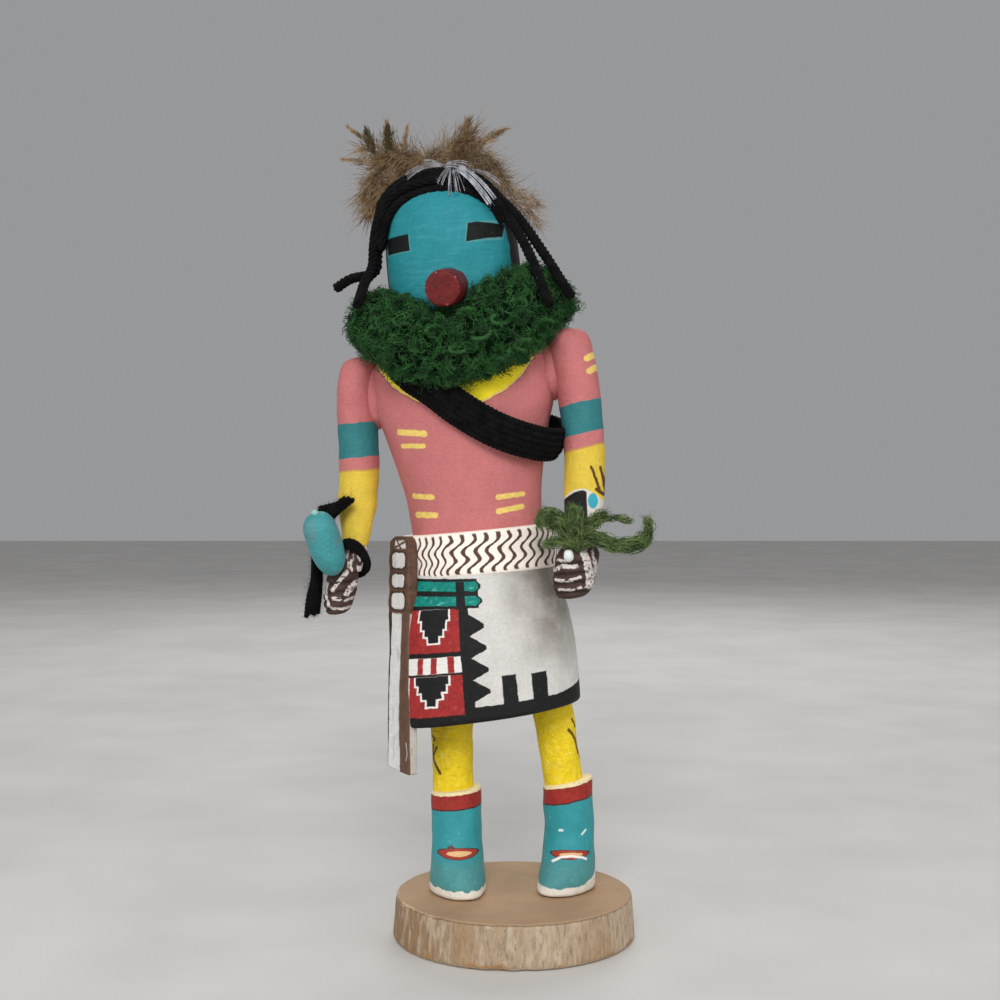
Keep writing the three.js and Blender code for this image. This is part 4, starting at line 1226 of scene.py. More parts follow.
def plied(route, radius, plies=3, pitch=4.6, spacing=0.7, closed=False, phase=0.0):
    """The twisted strands of one yarn along a route: paths, and a radius for each."""
    line = curve(route, spacing, closed)
    middle = line[:, :3]
    width = line[:, 3] if line.shape[1] > 3 else np.full(len(line), radius)
    _, side, front = (part[0] for part in frames_along(middle[None]))
    travel = np.arange(len(line)) * spacing
    paths, radii = [], []
    for k in range(plies):
        turn = 2 * math.pi * (travel / pitch + k / plies) + phase
        offset = np.cos(turn)[:, None] * side + np.sin(turn)[:, None] * front
        paths.append(middle + offset * (width * 0.52)[:, None])
        radii.append(width * 0.5)
    return np.array(paths), np.array(radii)


def fuzz(paths, count, length, width, seed, lift=1.0, steps=4):
    """Loose fibres that stand off yarn paths (count, steps, 3)."""
    random = np.random.default_rng(seed)
    flat = paths.reshape(-1, 3)
    along = unit(np.gradient(paths, axis=1)).reshape(-1, 3)
    pick = random.integers(0, len(flat), count)
    aim = unit(random.normal(size=(count, 3)) * lift + along[pick] * random.choice([-1, 1], (count, 1)) * 0.9)
    bend = random.normal(size=(count, 3)) * 0.7
    reach = np.linspace(0, 1, steps)[None, :, None] * (length * random.uniform(0.4, 1.2, (count, 1, 1)))
    hairs = flat[pick][:, None] + aim[:, None] * reach + bend[:, None] * reach**2 / length * 0.5
    thin = np.linspace(1, 0.4, steps)[None] * width * np.ones((count, 1))
    facing = unit(random.normal(size=(count, 1, 3)))
    return ribbons(hairs, thin, facing)


def yarn(route, radius, hairs, seed, sides=5, share=1.0, lift=1.0, **twist):
    """A plied yarn along a route, with loose hairs: how many, how long and how thick."""
    paths, radii = plied(route, radius, **twist)
    return [tubes(paths, radii * share, sides), fuzz(paths, *hairs, seed, lift)]


HAIR_BAND = [
    [-23.4, -7.6, 211], [-21.6, -7.8, 218], [-19.4, -8.4, 225.2], [-15.8, -9.4, 231.4], [-9, -11, 235.0],
    [0.8, -12, 235.9], [10.4, -11.4, 234], [17.0, -9.8, 228.6],
]
HAIR_STRANDS = [
    # where it lies on the band, sideways and outwards, then the points of its free ends
    ((-0.9, 0.1), [[-30.4, -10, 209.4], [-36.2, -8.6, 207.0]],
     [[22.0, -10.2, 220.6], [26.6, -12.4, 210.6], [32.4, -18.6, 192.8]]),
    ((0.1, 0.7), [[-25.2, -12.6, 207.6], [-26.2, -21.4, 199.8]],
     [[24.4, -8.8, 221.4], [31.6, -10.6, 208.8], [38.6, -13.0, 195.2]]),
]
HAIR_FILLERS = [(0.95, -0.1), (0.9, -1.1), (-0.15, -0.3), (-1.0, -0.7), (0.5, 0.45), (-0.6, 0.8), (0.1, 0.9)]
CHEEK_YARN = [
    [-26.6, -20.6, 199.2], [-25.8, -13.4, 206.4], [-23.6, -9.0, 212.4], [-22.4, -9.2, 219],
    [-20.4, -9.6, 225.8],
    [-16.2, -11.0, 232.2], [-9, -12.6, 236.6], [0.8, -13.4, 237.8], [9.6, -12.8, 236.0], [16.0, -11.2, 231.0],
]


def hair(black):
    """Thick black yarn laid over the brow side by side, with its ends hanging past the cheeks."""
    band = np.array(HAIR_BAND, float)
    middle = np.array([0.6, 0, 205])
    out = unit((band - middle) * [1, 0, 1])
    along = unit(np.gradient(band, axis=0))
    across = unit(np.cross(along, out))
    across *= np.sign(-across[:, 1:2])
    spread = np.array([0.9, 1.3, 1.9, 2.6, 2.9, 2.9, 2.7, 1.8])[:, None]
    surfaces = []
    for k, ((sideways, lift), left, right) in enumerate(HAIR_STRANDS):
        laid = band + across * sideways * spread + out * lift * spread
        route = np.vstack([left[::-1], laid, right])
        surfaces += yarn(route, 1.72, (350, 1.2, 0.06), 50 + k, sides=7, pitch=4.6, spacing=0.78, phase=k)
    for k, (sideways, lift) in enumerate(HAIR_FILLERS):
        laid = (band + across * sideways * spread + out * lift * spread)[1:]
        laid = np.vstack([laid, laid[-1:] + [[3.2, 1.6, -6.0]]])
        surfaces += yarn(
            laid, 1.65, (300, 1.4, 0.06), 55 + k, share=0.75, plies=5, pitch=15, spacing=0.78, phase=k * 1.7
        )
    surfaces += yarn(CHEEK_YARN, 1.6, (250, 1.2, 0.06), 49, sides=7, pitch=4.8, spacing=0.78, phase=2)
    fibre_piece("hair_yarn", surfaces, black, "hair")


BANDOLIER = [
    [-13.8, -14.8, 178], [-5.8, -18.2, 171.8], [2, -19, 164.8], [12.2, -18.6, 157.6], [21.7, -14.5, 153],
    [27.6, -6, 151.4], [29.0, 2, 153], [24.6, 11.5, 156], [12, 17.5, 161], [-2, 18.2, 168], [-12, 15, 177],
    [-16.5, 9, 186], [-19, 0, 190], [-19.2, -7.6, 184],
]


def bandolier(black):
    """Lengths of black yarn side by side, slung over the right shoulder."""
    route = np.array(BANDOLIER, float)
    along = unit(np.roll(route, -1, axis=0) - np.roll(route, 1, axis=0))
    out = route - [0, 0, 168]
    out = unit(out - (out * along).sum(-1, keepdims=True) * along)
    across = np.cross(along, out)
    surfaces = []
    count = 6
    for k in range(count):
        share = (k / (count - 1) - 0.5) * 2
        strand = route + across * share * 4.4 + out * (0.8 - 0.8 * share**2)
        surfaces += yarn(strand, 1.3, (260, 1.2, 0.06), 60 + k, pitch=4.4, closed=True, phase=k * 1.3)
    fibre_piece("bandolier_yarn", surfaces, black, "bandolier")


RUFF = {
    "width": 27, "depth": 20.4, "tube": 9.4, "height": 12, "middle": 197.5, "droop": 13.5,
    "thin": 4.4, "sink": 3.5,
}


def ruff_surface(around, over):
    """Points on the ruff and their outward directions, for angles round the neck and over the roll."""
    c, s = np.cos(around), np.sin(around)
    fall = np.minimum(s, 0.25) * np.where(s < 0, np.abs(s), 1) * RUFF["droop"]
    front = np.sqrt(np.maximum(-s, 0))
    behind = 1 - front
    bulge = 1 + 0.05 * np.sin(5 * around) + 0.04 * np.cos(3 * around)
    out = RUFF["tube"] * bulge * np.cos(over)
    rise = (RUFF["height"] - RUFF["thin"] * behind) * bulge * np.sin(over)
    x = 1.1 + (RUFF["width"] + out) * c
    beside = np.clip((np.abs(x - 2.4) - 3) / 5, 0, 1) * front * np.maximum(np.sin(over), 0)
    corner = np.exp(-(((x - 26) / 9) ** 2)) * front * np.maximum(-np.sin(over), 0)
    height = RUFF["middle"] + fall - RUFF["sink"] * behind + rise
    height = height + beside * (3.2 + 1.6 * np.clip(c * 2, -1, 1)) - corner * 3.4
    point = np.stack([x, (RUFF["depth"] + out) * s, height], -1)
    normal = unit(np.stack([np.cos(over) * c, np.cos(over) * s, 0.75 * np.sin(over) + 0 * c], -1))
    return point, normal


def locks(random, count, fibres):
    """Curling locks of unravelled wool all over the ruff, each fanning out into loose fibres."""
    around, over = random.uniform(0, 2 * math.pi, count), random.uniform(-2.4, 2.5, count)
    root, out = ruff_surface(around, over)
    down = random.normal(size=(count, 3)) * 0.9 - UP * 0.45
    flow = unit(down - (down * out).sum(-1, keepdims=True) * out)
    side = np.cross(out, flow)
    root, out, flow, side = (np.repeat(part, fibres, axis=0)[:, None] for part in (root, out, flow, side))
    t = np.linspace(0, 1, 7)[None, :, None]
    total = count * fibres

    def vary(low, high, loose):
        shared = np.repeat(random.uniform(low, high, (count, 1, 1)), fibres, axis=0)
        return shared + random.normal(size=(total, 1, 1)) * loose

    turn = vary(0, 6.3, 0.45) + t * vary(3.5, 9.0, 1.2)
    curl = vary(0.3, 1.1, 0.22) * t**0.5
    lift = np.sin(t * vary(1.8, 2.7, 0.25)) * vary(1.8, 3.1, 0.45) - 2.6
    paths = root + out * (lift + np.cos(turn) * curl * 0.7)
    paths = paths + flow * (t * vary(1.8, 4.2, 0.5) - 1.2) + side * np.sin(turn) * curl
    spread = random.normal(size=(total, 1, 3)) * (0.45 + 0.35 * t)
    paths = paths + spread + smooth_noise(random, paths.shape, 4) * 0.2
    widths = np.linspace(0.25, 0.14, 7)[None] * random.uniform(0.6, 1.3, (total, 1))
    facing = unit(random.normal(size=(total, 1, 3)) + out)
    return ribbons(paths, widths, facing), paths


def fleece(random, count):
    """Short crinkled fibres lying close all round under the locks."""
    root, out = ruff_surface(random.uniform(0, 2 * math.pi, count), random.uniform(-2.8, 2.9, count))
    side = unit(np.cross(out, random.normal(size=(count, 3))))
    other = np.cross(out, side)
    t = np.linspace(0, 1, 5)[None, :, None]
    turn = random.uniform(0, 6.3, (count, 1, 1)) + t * random.uniform(3, 6, (count, 1, 1))
    size = random.uniform(0.4, 1.0, (count, 1, 1))
    rise = random.uniform(-3.4, -2.0, (count, 1, 1))
    rise = rise + np.sin(t * 3.0) * random.uniform(0.6, 1.8, (count, 1, 1))
    drift = random.normal(size=(count, 1, 1)) * 1.6 * t
    paths = root[:, None] + out[:, None] * rise + side[:, None] * (np.cos(turn) * size + drift)
    paths = paths + other[:, None] * (np.sin(turn) * size + drift)
    widths = np.full((count, 5), 0.36)
    facing = unit(random.normal(size=(count, 1, 3)) * 0.6 + out[:, None])
    return ribbons(paths, widths, facing)


RUFF_LOOPS = [
    # middle, radius, first and last angle: curls of yarn that stand clear at the front
    ((-1.3, -29.6, 188.2), 2.2, 20, 200), ((12.0, -29.4, 186.2), 2.4, 200, 380),
    ((23.6, -27.6, 193.7), 2.2, -60, 130),
    ((24.9, -26.8, 181.4), 2.3, 60, 270), ((5.0, -29.8, 182.4), 1.9, 150, 330),
    ((-12.0, -26.6, 190.4), 2.2, -20, 150),
    ((17.6, -28.8, 179.4), 2.0, 230, 400), ((30.4, -20.4, 187.4), 2.0, 10, 190),
    ((-20.4, -20.0, 194.6), 2.0, 80, 260),
    ((-7.0, -28.4, 184.4), 2.1, 90, 280), ((8.6, -30.0, 192.4), 2.0, 10, 180),
    ((18.6, -28.6, 189.8), 2.2, 120, 310),
]


LOCK_PIECES = 2
LOCKS = 520
LOCK_FIBRES = 19
FLEECE_FIBRES = 7000
YARN_ENDS = 260


def ruff_loops():
    surfaces = []
    for middle, radius, first, last in RUFF_LOOPS:
        turn = np.radians(np.linspace(first, last, 22))
        route = np.array(middle) + np.column_stack([
            np.cos(turn) * radius * 1.3, np.linspace(-1.1, 1.1, 22) ** 2 * 1.5, np.sin(turn) * radius * 0.7,
        ])
        hairs = 130, 1.3, 0.09
        surfaces += yarn(route, 0.62, hairs, 200 + int(first), lift=0.9, plies=2, pitch=2.6, spacing=0.4)
    return surfaces


def crimps(random, count):
    """Short ends of two-ply yarn that curl on the ruff's surface."""
    root, out = ruff_surface(random.uniform(0, 2 * math.pi, count), random.uniform(-2.2, 2.3, count))
    root = root - out * random.uniform(0.6, 1.8, (count, 1))
    side = unit(np.cross(out, random.normal(size=(count, 3))))
    other = np.cross(out, side)
    t = np.linspace(0, 1, 13)[None, :, None]
    size = random.uniform(0.4, 1.2, (count, 1, 1))
    wave = random.uniform(0, 6.3, (count, 1, 1)) + t * random.uniform(3, 7, (count, 1, 1))
    drift = random.uniform(-3.0, 3.0, (count, 1, 1)) * t
    lift = np.sin(t * 2.6) * random.uniform(0.6, 1.5, (count, 1, 1))
    paths = root[:, None] + out[:, None] * (lift + np.sin(wave) * size * 0.35)
    paths = paths + side[:, None] * (np.cos(wave) * size + drift)
    paths = paths + other[:, None] * (np.sin(wave) * size + drift)
    strands = []
    for k in range(2):
        twist = t * 9 + k * math.pi
        strands.append(paths + side[:, None] * np.cos(twist) * 0.2 + other[:, None] * np.sin(twist) * 0.2)
    strands = np.vstack(strands)
    return tubes(strands, np.full((len(strands), 1), 0.2), 3), strands


def ruff():
    """A thick collar of unravelled green yarn."""
    random = np.random.default_rng(7)
    around = np.linspace(0, 2 * math.pi, 120, endpoint=False)
    over = np.linspace(0, 2 * math.pi, 40, endpoint=False)
    grid, out = ruff_surface(around[:, None], over[None])
    grid = grid - out * (4.3 + 0.5 * ripple(grid, 5, 71)[..., None])
    ring = np.vstack([grid, grid[:1]])
    deep, light = srgb(11, 47, 17), srgb(60, 118, 56)
    # The core is a darker green than the yarn on it: painted shade deep in the ruff, showing between the
    # locks.
    core = yarn_material("green_core", srgb(7, 28, 11), srgb(18, 48, 20), sheen=0.05, streak=0.5)
    piece("ruff_core", sheet_of(ring, caps=False), core, stands_for="ruff")
    green = yarn_material("green_yarn", deep, light, sheen=0.08, streak=0.3)
    for part in range(LOCK_PIECES):
        wool, paths = locks(random, LOCKS, LOCK_FIBRES)
        wisps = fuzz(paths, 1500, 1.8, 0.06, 75 + part)
        fibre_piece(f"ruff_locks_{part + 1}", [wool, wisps], green)
    fibre_piece("ruff_fleece", [fleece(random, FLEECE_FIBRES)], green)
    ends, paths = crimps(random, YARN_ENDS)
    loose = fuzz(paths, 2000, 1.9, 0.08, 80, lift=1.2)
    fibre_piece("ruff_crimps", [ends, loose] + ruff_loops(), green)


TASSEL = [
    [-36.9, -15.2, 140.7], [-40.2, -16.2, 138.4], [-45.0, -15.6, 134.4], [-48.4, -14.2, 126],
    [-49.8, -14, 117],
    [-51.2, -14.2, 111], [-52.0, -14.6, 105.6],
]
TASSEL_SPREAD = [1.5, 1.7, 1.8, 1.2, 1.2, 1.7, 1.5]
TASSEL_TOP = [[-38.0, -14.4, 139.4], [-42.4, -13.8, 138.6], [-47.2, -13.4, 138.0]]


def tassel(black):
    """A tuft of black yarn behind the rattle, its ends hanging beside the hand."""
    random = np.random.default_rng(47)
    surfaces = []
    count = 9
    for k in range(count):
        turn = 2 * math.pi * k / count + np.linspace(0, 1.5, len(TASSEL))
        shift = np.column_stack([np.cos(turn), np.sin(turn), 0 * turn]) * np.array(TASSEL_SPREAD)[:, None]
        shift[[0, -1]] += random.uniform(-0.8, 0.8, (2, 3))
        route = np.array(TASSEL) + shift
        surfaces += yarn(route, 0.9, (450, 2.0, 0.08), 90 + k, lift=1.2, pitch=3.8, spacing=0.5, phase=k)
    for k, (rise, depth) in enumerate(((0.8, 0.0), (-0.8, 0.4), (0.0, -0.9))):
        route = np.array(TASSEL_TOP) + [0, depth, rise]
        surfaces += yarn(route, 0.85, (200, 1.8, 0.08), 70 + k, lift=1.2, pitch=3.8, spacing=0.5, phase=k)
    fibre_piece("tassel_yarn", surfaces, black, "hand_tassel")


WRISTBAND = [
    [-39.9, -17.3, 126.6], [-37.5, -17.2, 127.2], [-35.3, -15.8, 126.0], [-34.0, -13.4, 123.2],
    [-33.9, -10.6, 120.2],
    [-35.6, -8.0, 117.8], [-38.8, -6.8, 117.2], [-42.0, -7.8, 118.8], [-43.6, -11.2, 121.8],
    [-42.6, -15.2, 124.8],
]


def wristband(black):
    """Three turns of black yarn looped loosely round the right wrist."""
    route = np.array(WRISTBAND)
    along = unit(np.roll(route, -1, axis=0) - np.roll(route, 1, axis=0))
    out = unit(route - route.mean(axis=0))
    across = np.cross(along, out)
    surfaces = []
    for k, (sideways, lift) in enumerate(((-1.15, -0.3), (0.0, 0.2), (1.15, -0.3))):
        strand = route + across * sideways + out * lift
        hairs = 350, 1.5, 0.07
        surfaces += yarn(
            strand, 1.05, hairs, 100 + k, sides=6, lift=1.2, pitch=3.4, spacing=0.4, closed=True, phase=k
        )
    fibre_piece("wrist_yarn", surfaces, black, "wristband")


SPRIG_STEMS = [
    # points, how far its fibres spread at each, how many fibres
    ([[34.4, -19.6, 119.5], [34.4, -21.5, 125], [33.8, -22, 132.2]], [1.8, 3.2, 1.8], 150),
    ([[34.4, -21, 121], [29.6, -22, 127.4], [24.2, -22, 131.2]], [2.0, 3.0, 1.7], 150),
    ([[25.4, -22, 131], [23.2, -22, 129.2], [23.8, -22, 126.8]], [1.4, 1.1, 0.7], 40),
    ([[34, -21.4, 121], [29, -22, 122.4], [23.6, -22, 121.6]], [1.3, 1.5, 0.8], 40),
    ([[35, -21.4, 121.6], [40.5, -22, 122.0], [45.6, -21.6, 119.6], [52.0, -20.6, 119.4],
      [55.0, -20.2, 121.8]],
     [2.0, 1.8, 2.0, 1.9, 1.5], 150),
    ([[54.4, -20.3, 120.6], [55.6, -20, 123.6], [55.6, -20, 126.8]], [1.6, 1.4, 0.8], 60),
    ([[36, -22, 124], [40, -22.2, 127.6], [43.6, -22, 129.2]], [2.0, 2.0, 1.1], 80),
    ([[38, -22, 126], [45, -22.4, 128.0], [51.0, -22, 126.2]], [1.1, 0.8, 0.3], 24),
]


def sprig():
    """Green yarn pulled open into a spray, held in the left hand."""
    random = np.random.default_rng(17)
    surfaces = []
    for points, spread, count in SPRIG_STEMS:
        line = curve(np.column_stack([points, spread]), 1.0)
        middle, width = line[:, :3], line[:, 3]
        _, side, front = (part[0] for part in frames_along(middle[None]))
        steps = len(line)
        share = np.linspace(0, 1, steps)[None]
        turn = random.uniform(0, 6.3, (count, 1)) + share * random.normal(0, 3.0, (count, 1))
        out = np.sqrt(random.uniform(0.02, 1, (count, 1))) * width[None]
        paths = middle[None] + out[..., None] * (
            np.cos(turn)[..., None] * side[None] + np.sin(turn)[..., None] * front[None]
        )
        paths = paths + smooth_noise(random, paths.shape, 4) * 0.5
        surfaces.append(tubes(paths, random.uniform(0.07, 0.17, (count, 1)), 3))
        surfaces.append(fuzz(paths, count * 8, 2.0, 0.08, 110 + count, lift=0.9))
    green = yarn_material("sprig_yarn", srgb(16, 44, 19), srgb(146, 168, 104), sheen=0.05, streak=0.45)
    fibre_piece("sprig_yarn", surfaces, green, "sprig")


# ---- Feathers ----

BLADES = [
    # pointed ends: points it sweeps through, its half width at each, how many barbs, how long they are
    ([[2, 2, 241], [6.4, 1, 249.0], [9.6, 0, 255.0]], [3.2, 3.6, 1.1], 700, 3.4),
    ([[4, 1.6, 242.6], [13, 0, 248.0], [20.6, -0.6, 251.2]], [2.2, 2.2, 0.4], 460, 3.4),
    ([[-15, 2, 246.0], [-22.6, 1.4, 253.0], [-28.8, 0.6, 258.6]], [1.7, 1.4, 0.2], 280, 3.0),
    ([[-14.6, 1, 248.0], [-16.8, 0.6, 254.4], [-16.6, 0.2, 258.6]], [1.6, 1.3, 0.2], 240, 2.6),
    ([[-12.0, 2, 246.6], [-11.4, 1, 252.4], [-10.2, 0.6, 256.2]], [1.5, 1.1, 0.2], 200, 2.6),
    ([[-17.0, 2, 245.0], [-25.4, 1.6, 248.0], [-31.4, 1.2, 249.2]], [1.7, 1.3, 0.2], 240, 3.0),
]
PLUMES = [
    # points it sweeps through, its half width at each, how many barbs, how long they are
    ([[-12, 3, 242], [-17, 2, 245.4], [-22.6, 1, 242.6], [-25.8, 1, 237.2]], [1.6, 3.0, 3.0, 2.0], 520, 5.6),
    ([[-14, 3, 238], [-19, 2, 240], [-23.8, 1.4, 236.6], [-25.8, 1.4, 231.6]], [1.6, 2.6, 2.4, 1.6], 420,
     5.0),
    ([[-16, 4, 233], [-22, 3, 234.6], [-25.6, 2.4, 230.6]], [1.6, 2.2, 1.6], 240, 4.6),
    ([[-1, 3, 242], [-7, 2, 246.8], [-14, 1, 248.6], [-20, 0.6, 246.2]], [1.6, 2.8, 3.2, 2.2], 520, 6.0),
    ([[-8, 4, 241], [-14, 3, 245.6], [-20, 2, 249.4], [-25.6, 1.6, 252.2]], [1.6, 2.6, 2.4, 1.2], 360, 5.4),
    ([[-10, 3, 242], [-14.6, 2, 247], [-17.2, 1, 252.6]], [1.6, 2.4, 1.2], 240, 4.6),
    ([[-8, 3, 241], [-3, 2, 246.4], [3.6, 1, 249.2], [10, 0.6, 249.0]], [1.8, 2.8, 2.8, 1.4], 480, 6.0),
    ([[-4, 4, 241], [1, 3, 245.4], [7, 2, 248.6], [11, 1.4, 252.6]], [1.8, 2.6, 2.2, 1.0], 360, 5.4),
    ([[0, 3, 241], [6, 2, 244.6], [12.6, 1, 244.8], [17.4, 1, 241.6]], [1.8, 2.6, 2.4, 1.4], 420, 5.4),
    ([[5, 4, 239], [11, 3, 241.4], [16.4, 3, 239.6], [19.4, 3, 235.8]], [1.6, 2.2, 2.0, 1.2], 300, 4.6),
    ([[12, 5, 235], [18.4, 5, 234.6], [24.4, 5, 231.4], [29.0, 5, 227.4]], [1.4, 2.2, 2.2, 1.2], 260, 4.6),
    ([[14, 6, 231], [20, 6, 230.4], [25.4, 6, 226.4], [27.8, 6, 221.6]], [1.4, 2.2, 2.0, 1.2], 240, 4.6),
    ([[14, 8, 232], [19, 9, 230], [22, 9, 225]], [1.6, 2.4, 1.6], 180, 4.6),
    ([[-12, 7, 240], [-18, 8, 242.6], [-23.6, 8, 240], [-26, 8, 235]], [2.0, 3.0, 2.8, 1.8], 420, 5.4),
    ([[-6, 7, 241], [-9, 9, 246.4], [-14, 10, 247.6]], [2.0, 3.0, 2.0], 360, 5.4),
    ([[-1, 8, 241], [1, 9, 246.4], [5, 10, 247.4]], [2.0, 3.0, 2.0], 360, 5.4),
    ([[6, 8, 239], [11, 9, 242], [16, 9, 239.4]], [2.0, 2.8, 1.8], 300, 5.0),
    ([[-6, 10, 238], [-9, 14, 240.4], [-11, 17, 236.6]], [2.2, 3.0, 2.0], 320, 5.0),
    ([[2, 11, 238], [3, 15, 240], [4, 18, 236]], [2.2, 3.0, 2.0], 320, 5.0),
    ([[9, 10, 236], [12, 13, 237], [14, 15, 233]], [2.0, 2.6, 1.8], 240, 4.6),
    ([[-13, 9, 236], [-17, 12, 236.6], [-20, 13, 232.6]], [2.0, 2.6, 1.8], 240, 4.6),
]
SPADES = [([-22.2, -1.2, 253.2], -0.2, 3.0), ([-16.2, -1.4, 253.2], 0.1, 2.7)]


DOWN_DENSITY = 1.35


def plume(random, route, spread, count, long, loose=1.0):
    """Downy barbs that sweep along a route and fan out softly from it, or lie along it when not loose."""
    line = curve(np.column_stack([route, spread]), 0.5)
    middle, wide = line[:, :3], line[:, 3]
    along = unit(np.gradient(middle, axis=0))
    count = int(count * DOWN_DENSITY)
    place = random.integers(0, len(line), count)
    offset = random.normal(size=(count, 3)) * [1, 0.6, 1]
    start = middle[place] + offset * wide[place, None] * 0.42
    clump = ripple(start, 2.6, 143)[:, None] * np.array([0.6, 0.3, 0.4])
    aim = unit(along[place] + (offset * 0.34 + clump * 0.7 + random.normal(size=(count, 3)) * 0.2) * loose)
    bend = (offset * 0.3 + clump * 0.6 + random.normal(size=(count, 3)) * 0.34 - UP * 0.25) * loose
    t = np.linspace(0, 1, 6)[None, :, None]
    reach = long * random.uniform(0.3, 0.85, (count, 1, 1))
    paths = start[:, None] + (aim[:, None] * t + bend[:, None] * t**2 * 1.1) * reach
    widths = np.linspace(1, 0.3, 6)[None] * random.uniform(0.09, 0.23, (count, 1))
    facing = unit(random.normal(size=(count, 1, 3)) * 0.5 + [0.0, -1.0, 0.1])
    return ribbons(paths, widths, facing)


def crest():
    """A tuft of downy brown feathers on the crown, two with dark spade-shaped ends."""
    random = np.random.default_rng(27)
    down = [plume(random, *row) for row in PLUMES]
    down += [plume(random, *row, loose=0.22) for row in BLADES]
    p = Paint("down_feather")
    tone = p.patches(0.36, 0.64, 5.0, detail=3)
    p.colour = p.blend(srgb(104, 81, 54), srgb(158, 132, 99), tone)
    p.coat(srgb(58, 42, 28), p.patches(0.5, 0.68, 1.2, detail=3) * 0.6)
    tips = p.patches(0.54, 0.7, 0.8, detail=2)
    p.coat(srgb(176, 152, 118), tips * 0.45)
    right = p.ramp(p.x, -2.2, 5.8) * 0.55
    p.coat(srgb(154, 128, 98), right)
    material = p.finish(0.9, None, 0.05, specular=0.08)
    fibre_piece("crest_down", down, material, "crest_feathers")

    ends = []
    for middle, lean, size in SPADES:
        along = unit(np.array([lean, 0.0, 1.0]))
        route = [np.array(middle) + along * size * share for share in (-1.2, 0.1, 1.3)]
        ends.append(plume(random, route, [0.9, 2.7, 0.1], 420, 2.2, loose=0.1))
    q = Paint("spade_feather")
    q.colour = q.mottle(srgb(74, 62, 38), 1.2, 0.2)
    q.coat(srgb(50, 42, 30), q.patches(0.5, 0.7, 0.5, stretch=(1, 1, 6), detail=2) * 0.6)
    fibre_piece("crest_spades", ends, q.finish(0.85, None, 0.05, specular=0.08))


WHITE_BUNDLES = [
    # where its barbs start, where they end, how far apart at each end, how many, how thick
    ([6.4, -16.4, 237.6], [6.8, -17.6, 230.4], 2.0, 5.4, 9, 0.34),
    ([8.0, -15.8, 238.2], [17.6, -16.8, 226.8], 2.0, 3.3, 7, 0.8),
    ([12.4, -15.0, 237.0], [20.4, -14.4, 231.6], 0.8, 1.2, 3, 0.26),
    ([2.6, -15.8, 239.4], [-8.4, -15.4, 238.0], 0.6, 1.6, 5, 0.3),
    ([3.0, -15.6, 239.4], [-3.0, -14.8, 241.6], 0.5, 1.6, 4, 0.26),
    ([4.0, -15.8, 239.4], [10.6, -15.6, 238.0], 1.2, 2.4, 7, 0.34),
    ([5.4, -16.2, 238.4], [2.2, -17.2, 233.8], 0.8, 2.4, 4, 0.26),
]


def white_feather():
    """A stripped white feather laid over the brow, its barbs in a few straight bundles."""
    random = np.random.default_rng(37)
    surfaces = []
    s = np.linspace(0, 1, 14)[None, :, None]
    for start, end, gather, spread, count, thick in WHITE_BUNDLES:
        start, end = np.array(start, float), np.array(end, float)
        across = unit(np.cross(end - start, [0, 1, 0]))
        offset = np.linspace(-0.5, 0.5, count)[:, None] + random.normal(size=(count, 1)) * 0.03
        first = start + across * offset * gather + random.normal(size=(count, 3)) * [0.1, 0.3, 0.1]
        last = end + across * offset * spread + random.normal(size=(count, 3)) * [0.25, 0.3, 0.25]
        bow = np.array([0, -0.5, 1.0]) * np.linalg.norm(end - start) * 0.10
        paths = first[:, None] + (last - first)[:, None] * s + bow * 4 * s * (1 - s)
        widths = np.linspace(0.7, 1.0, 14)[None] * thick * random.uniform(0.3, 0.8, (count, 1))
        surfaces.append(ribbons(paths, widths, [0.0, 1.0, 0.25]))
        surfaces.append(tubes(paths, np.full((count, 1), 0.07), 3))
        surfaces.append(fuzz(paths, count * 14, 1.4, 0.05, 150 + count, lift=0.4))
    p = Paint("white_barbs")
    p.colour = p.blend(srgb(184, 186, 192), srgb(122, 124, 132), p.patches(0.4, 0.64, 1.2, stretch=(1, 1, 3)))
    fibre_piece("white_barbs", surfaces, p.finish(0.7, None, 0.1), "white_feather")


# ---- The stage ----

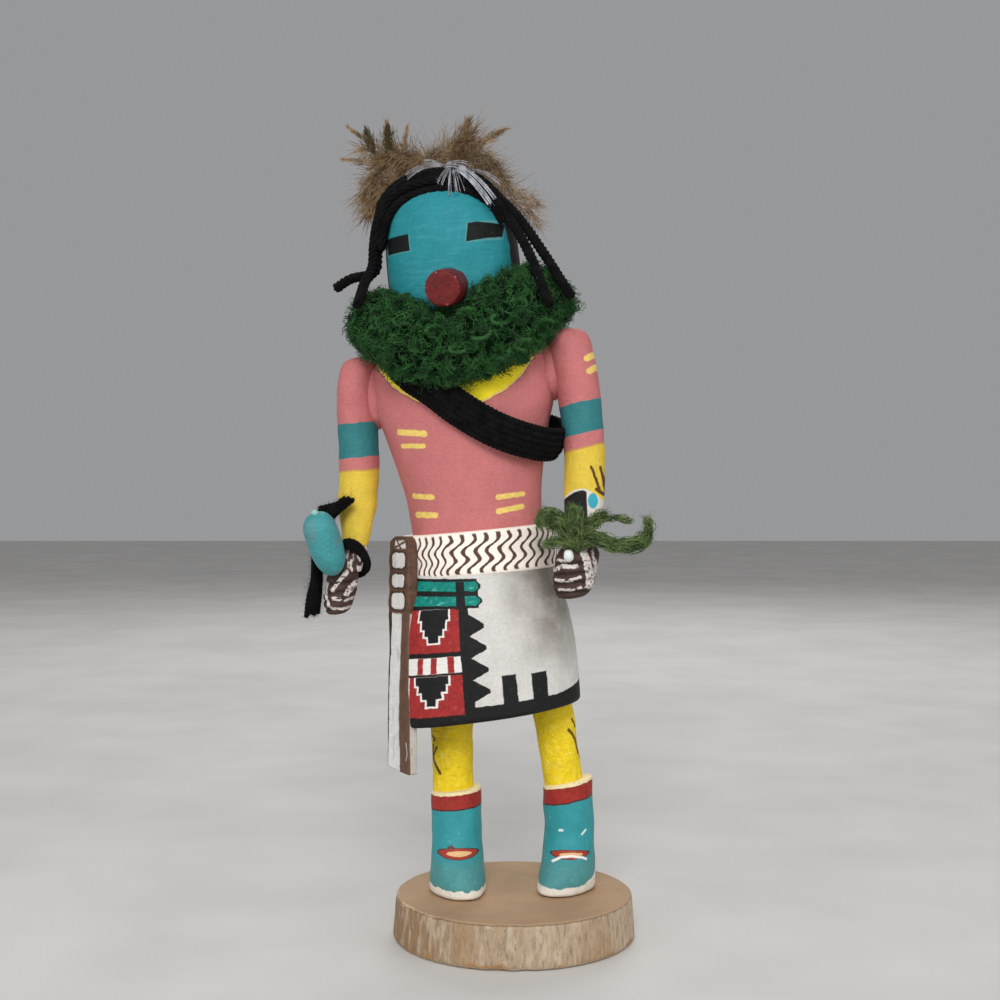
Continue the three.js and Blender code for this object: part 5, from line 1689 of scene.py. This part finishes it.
LAMPS = [
    # name, place and aim in metres, width, power
    ("key", (-0.05, -1.1, 0.86), (0, 0, 0.12), 0.6, 10.0),
    ("left", (-1.0, -0.8, 0.5), (0, 0, 0.12), 0.8, 3.6),
    ("right", (1.0, -0.8, 0.5), (0, 0, 0.12), 0.8, 3.4),
    ("back", (0.1, 1.0, 0.9), (0, 0, 0.15), 0.7, 5),
]
CAMERA_PLACE = (-4.4, -471, 143)
CAMERA_TILT = -0.8
CAMERA_LENS = 54
SKY_COLOUR = (0.96, 0.97, 1.0, 1)
SKY_STRENGTH = 0.325


FLOOR_WIDTH = 6
FLOOR_DROP = 0.0002


def stage():
    """The floor, the lamps, the sky and the camera, in metres."""
    p = Paint("floor_paint")
    p.colour = p.blend(srgb(214, 212, 208), srgb(206, 204, 200), p.patches(0.35, 0.65, 60, detail=2))
    material = p.finish(0.85)
    bpy.ops.mesh.primitive_plane_add(size=FLOOR_WIDTH, location=(0, 0, -FLOOR_DROP))
    floor = bpy.context.object
    floor.name = "floor"
    floor.data.materials.append(material)

    for name, place, aim, size, power in LAMPS:
        data = bpy.data.lights.new(name, "AREA")
        data.shape = "DISK"
        data.size = size
        data.energy = power
        made = bpy.data.objects.new(name, data)
        bpy.context.scene.collection.objects.link(made)
        made.location = place
        made.rotation_mode = "QUATERNION"
        made.rotation_quaternion = (Vector(aim) - Vector(place)).to_track_quat("-Z", "Y")
    world = bpy.data.worlds.new("studio")
    world.use_nodes = True
    sky = world.node_tree.nodes["Background"].inputs
    sky["Color"].default_value = SKY_COLOUR
    sky["Strength"].default_value = SKY_STRENGTH
    bpy.context.scene.world = world
    bpy.context.scene.view_settings.view_transform = "Standard"

    data = bpy.data.cameras.new("camera")
    data.sensor_width = 36
    data.lens = CAMERA_LENS
    data.clip_start, data.clip_end = 0.01, 50
    camera = bpy.data.objects.new("camera", data)
    bpy.context.scene.collection.objects.link(camera)
    camera.location = [value * MM for value in CAMERA_PLACE]
    camera.rotation_euler = (math.radians(90 + CAMERA_TILT), 0, 0)
    bpy.context.scene.camera = camera


stage()
base()
figure()
sash()
snout()
rattle()
black = yarn_material("black_yarn", srgb(5, 5, 6), srgb(24, 24, 25), sheen=0.02)
hair(black)
bandolier(black)
ruff()
tassel(black)
wristband(black)
sprig()
crest()
white_feather()
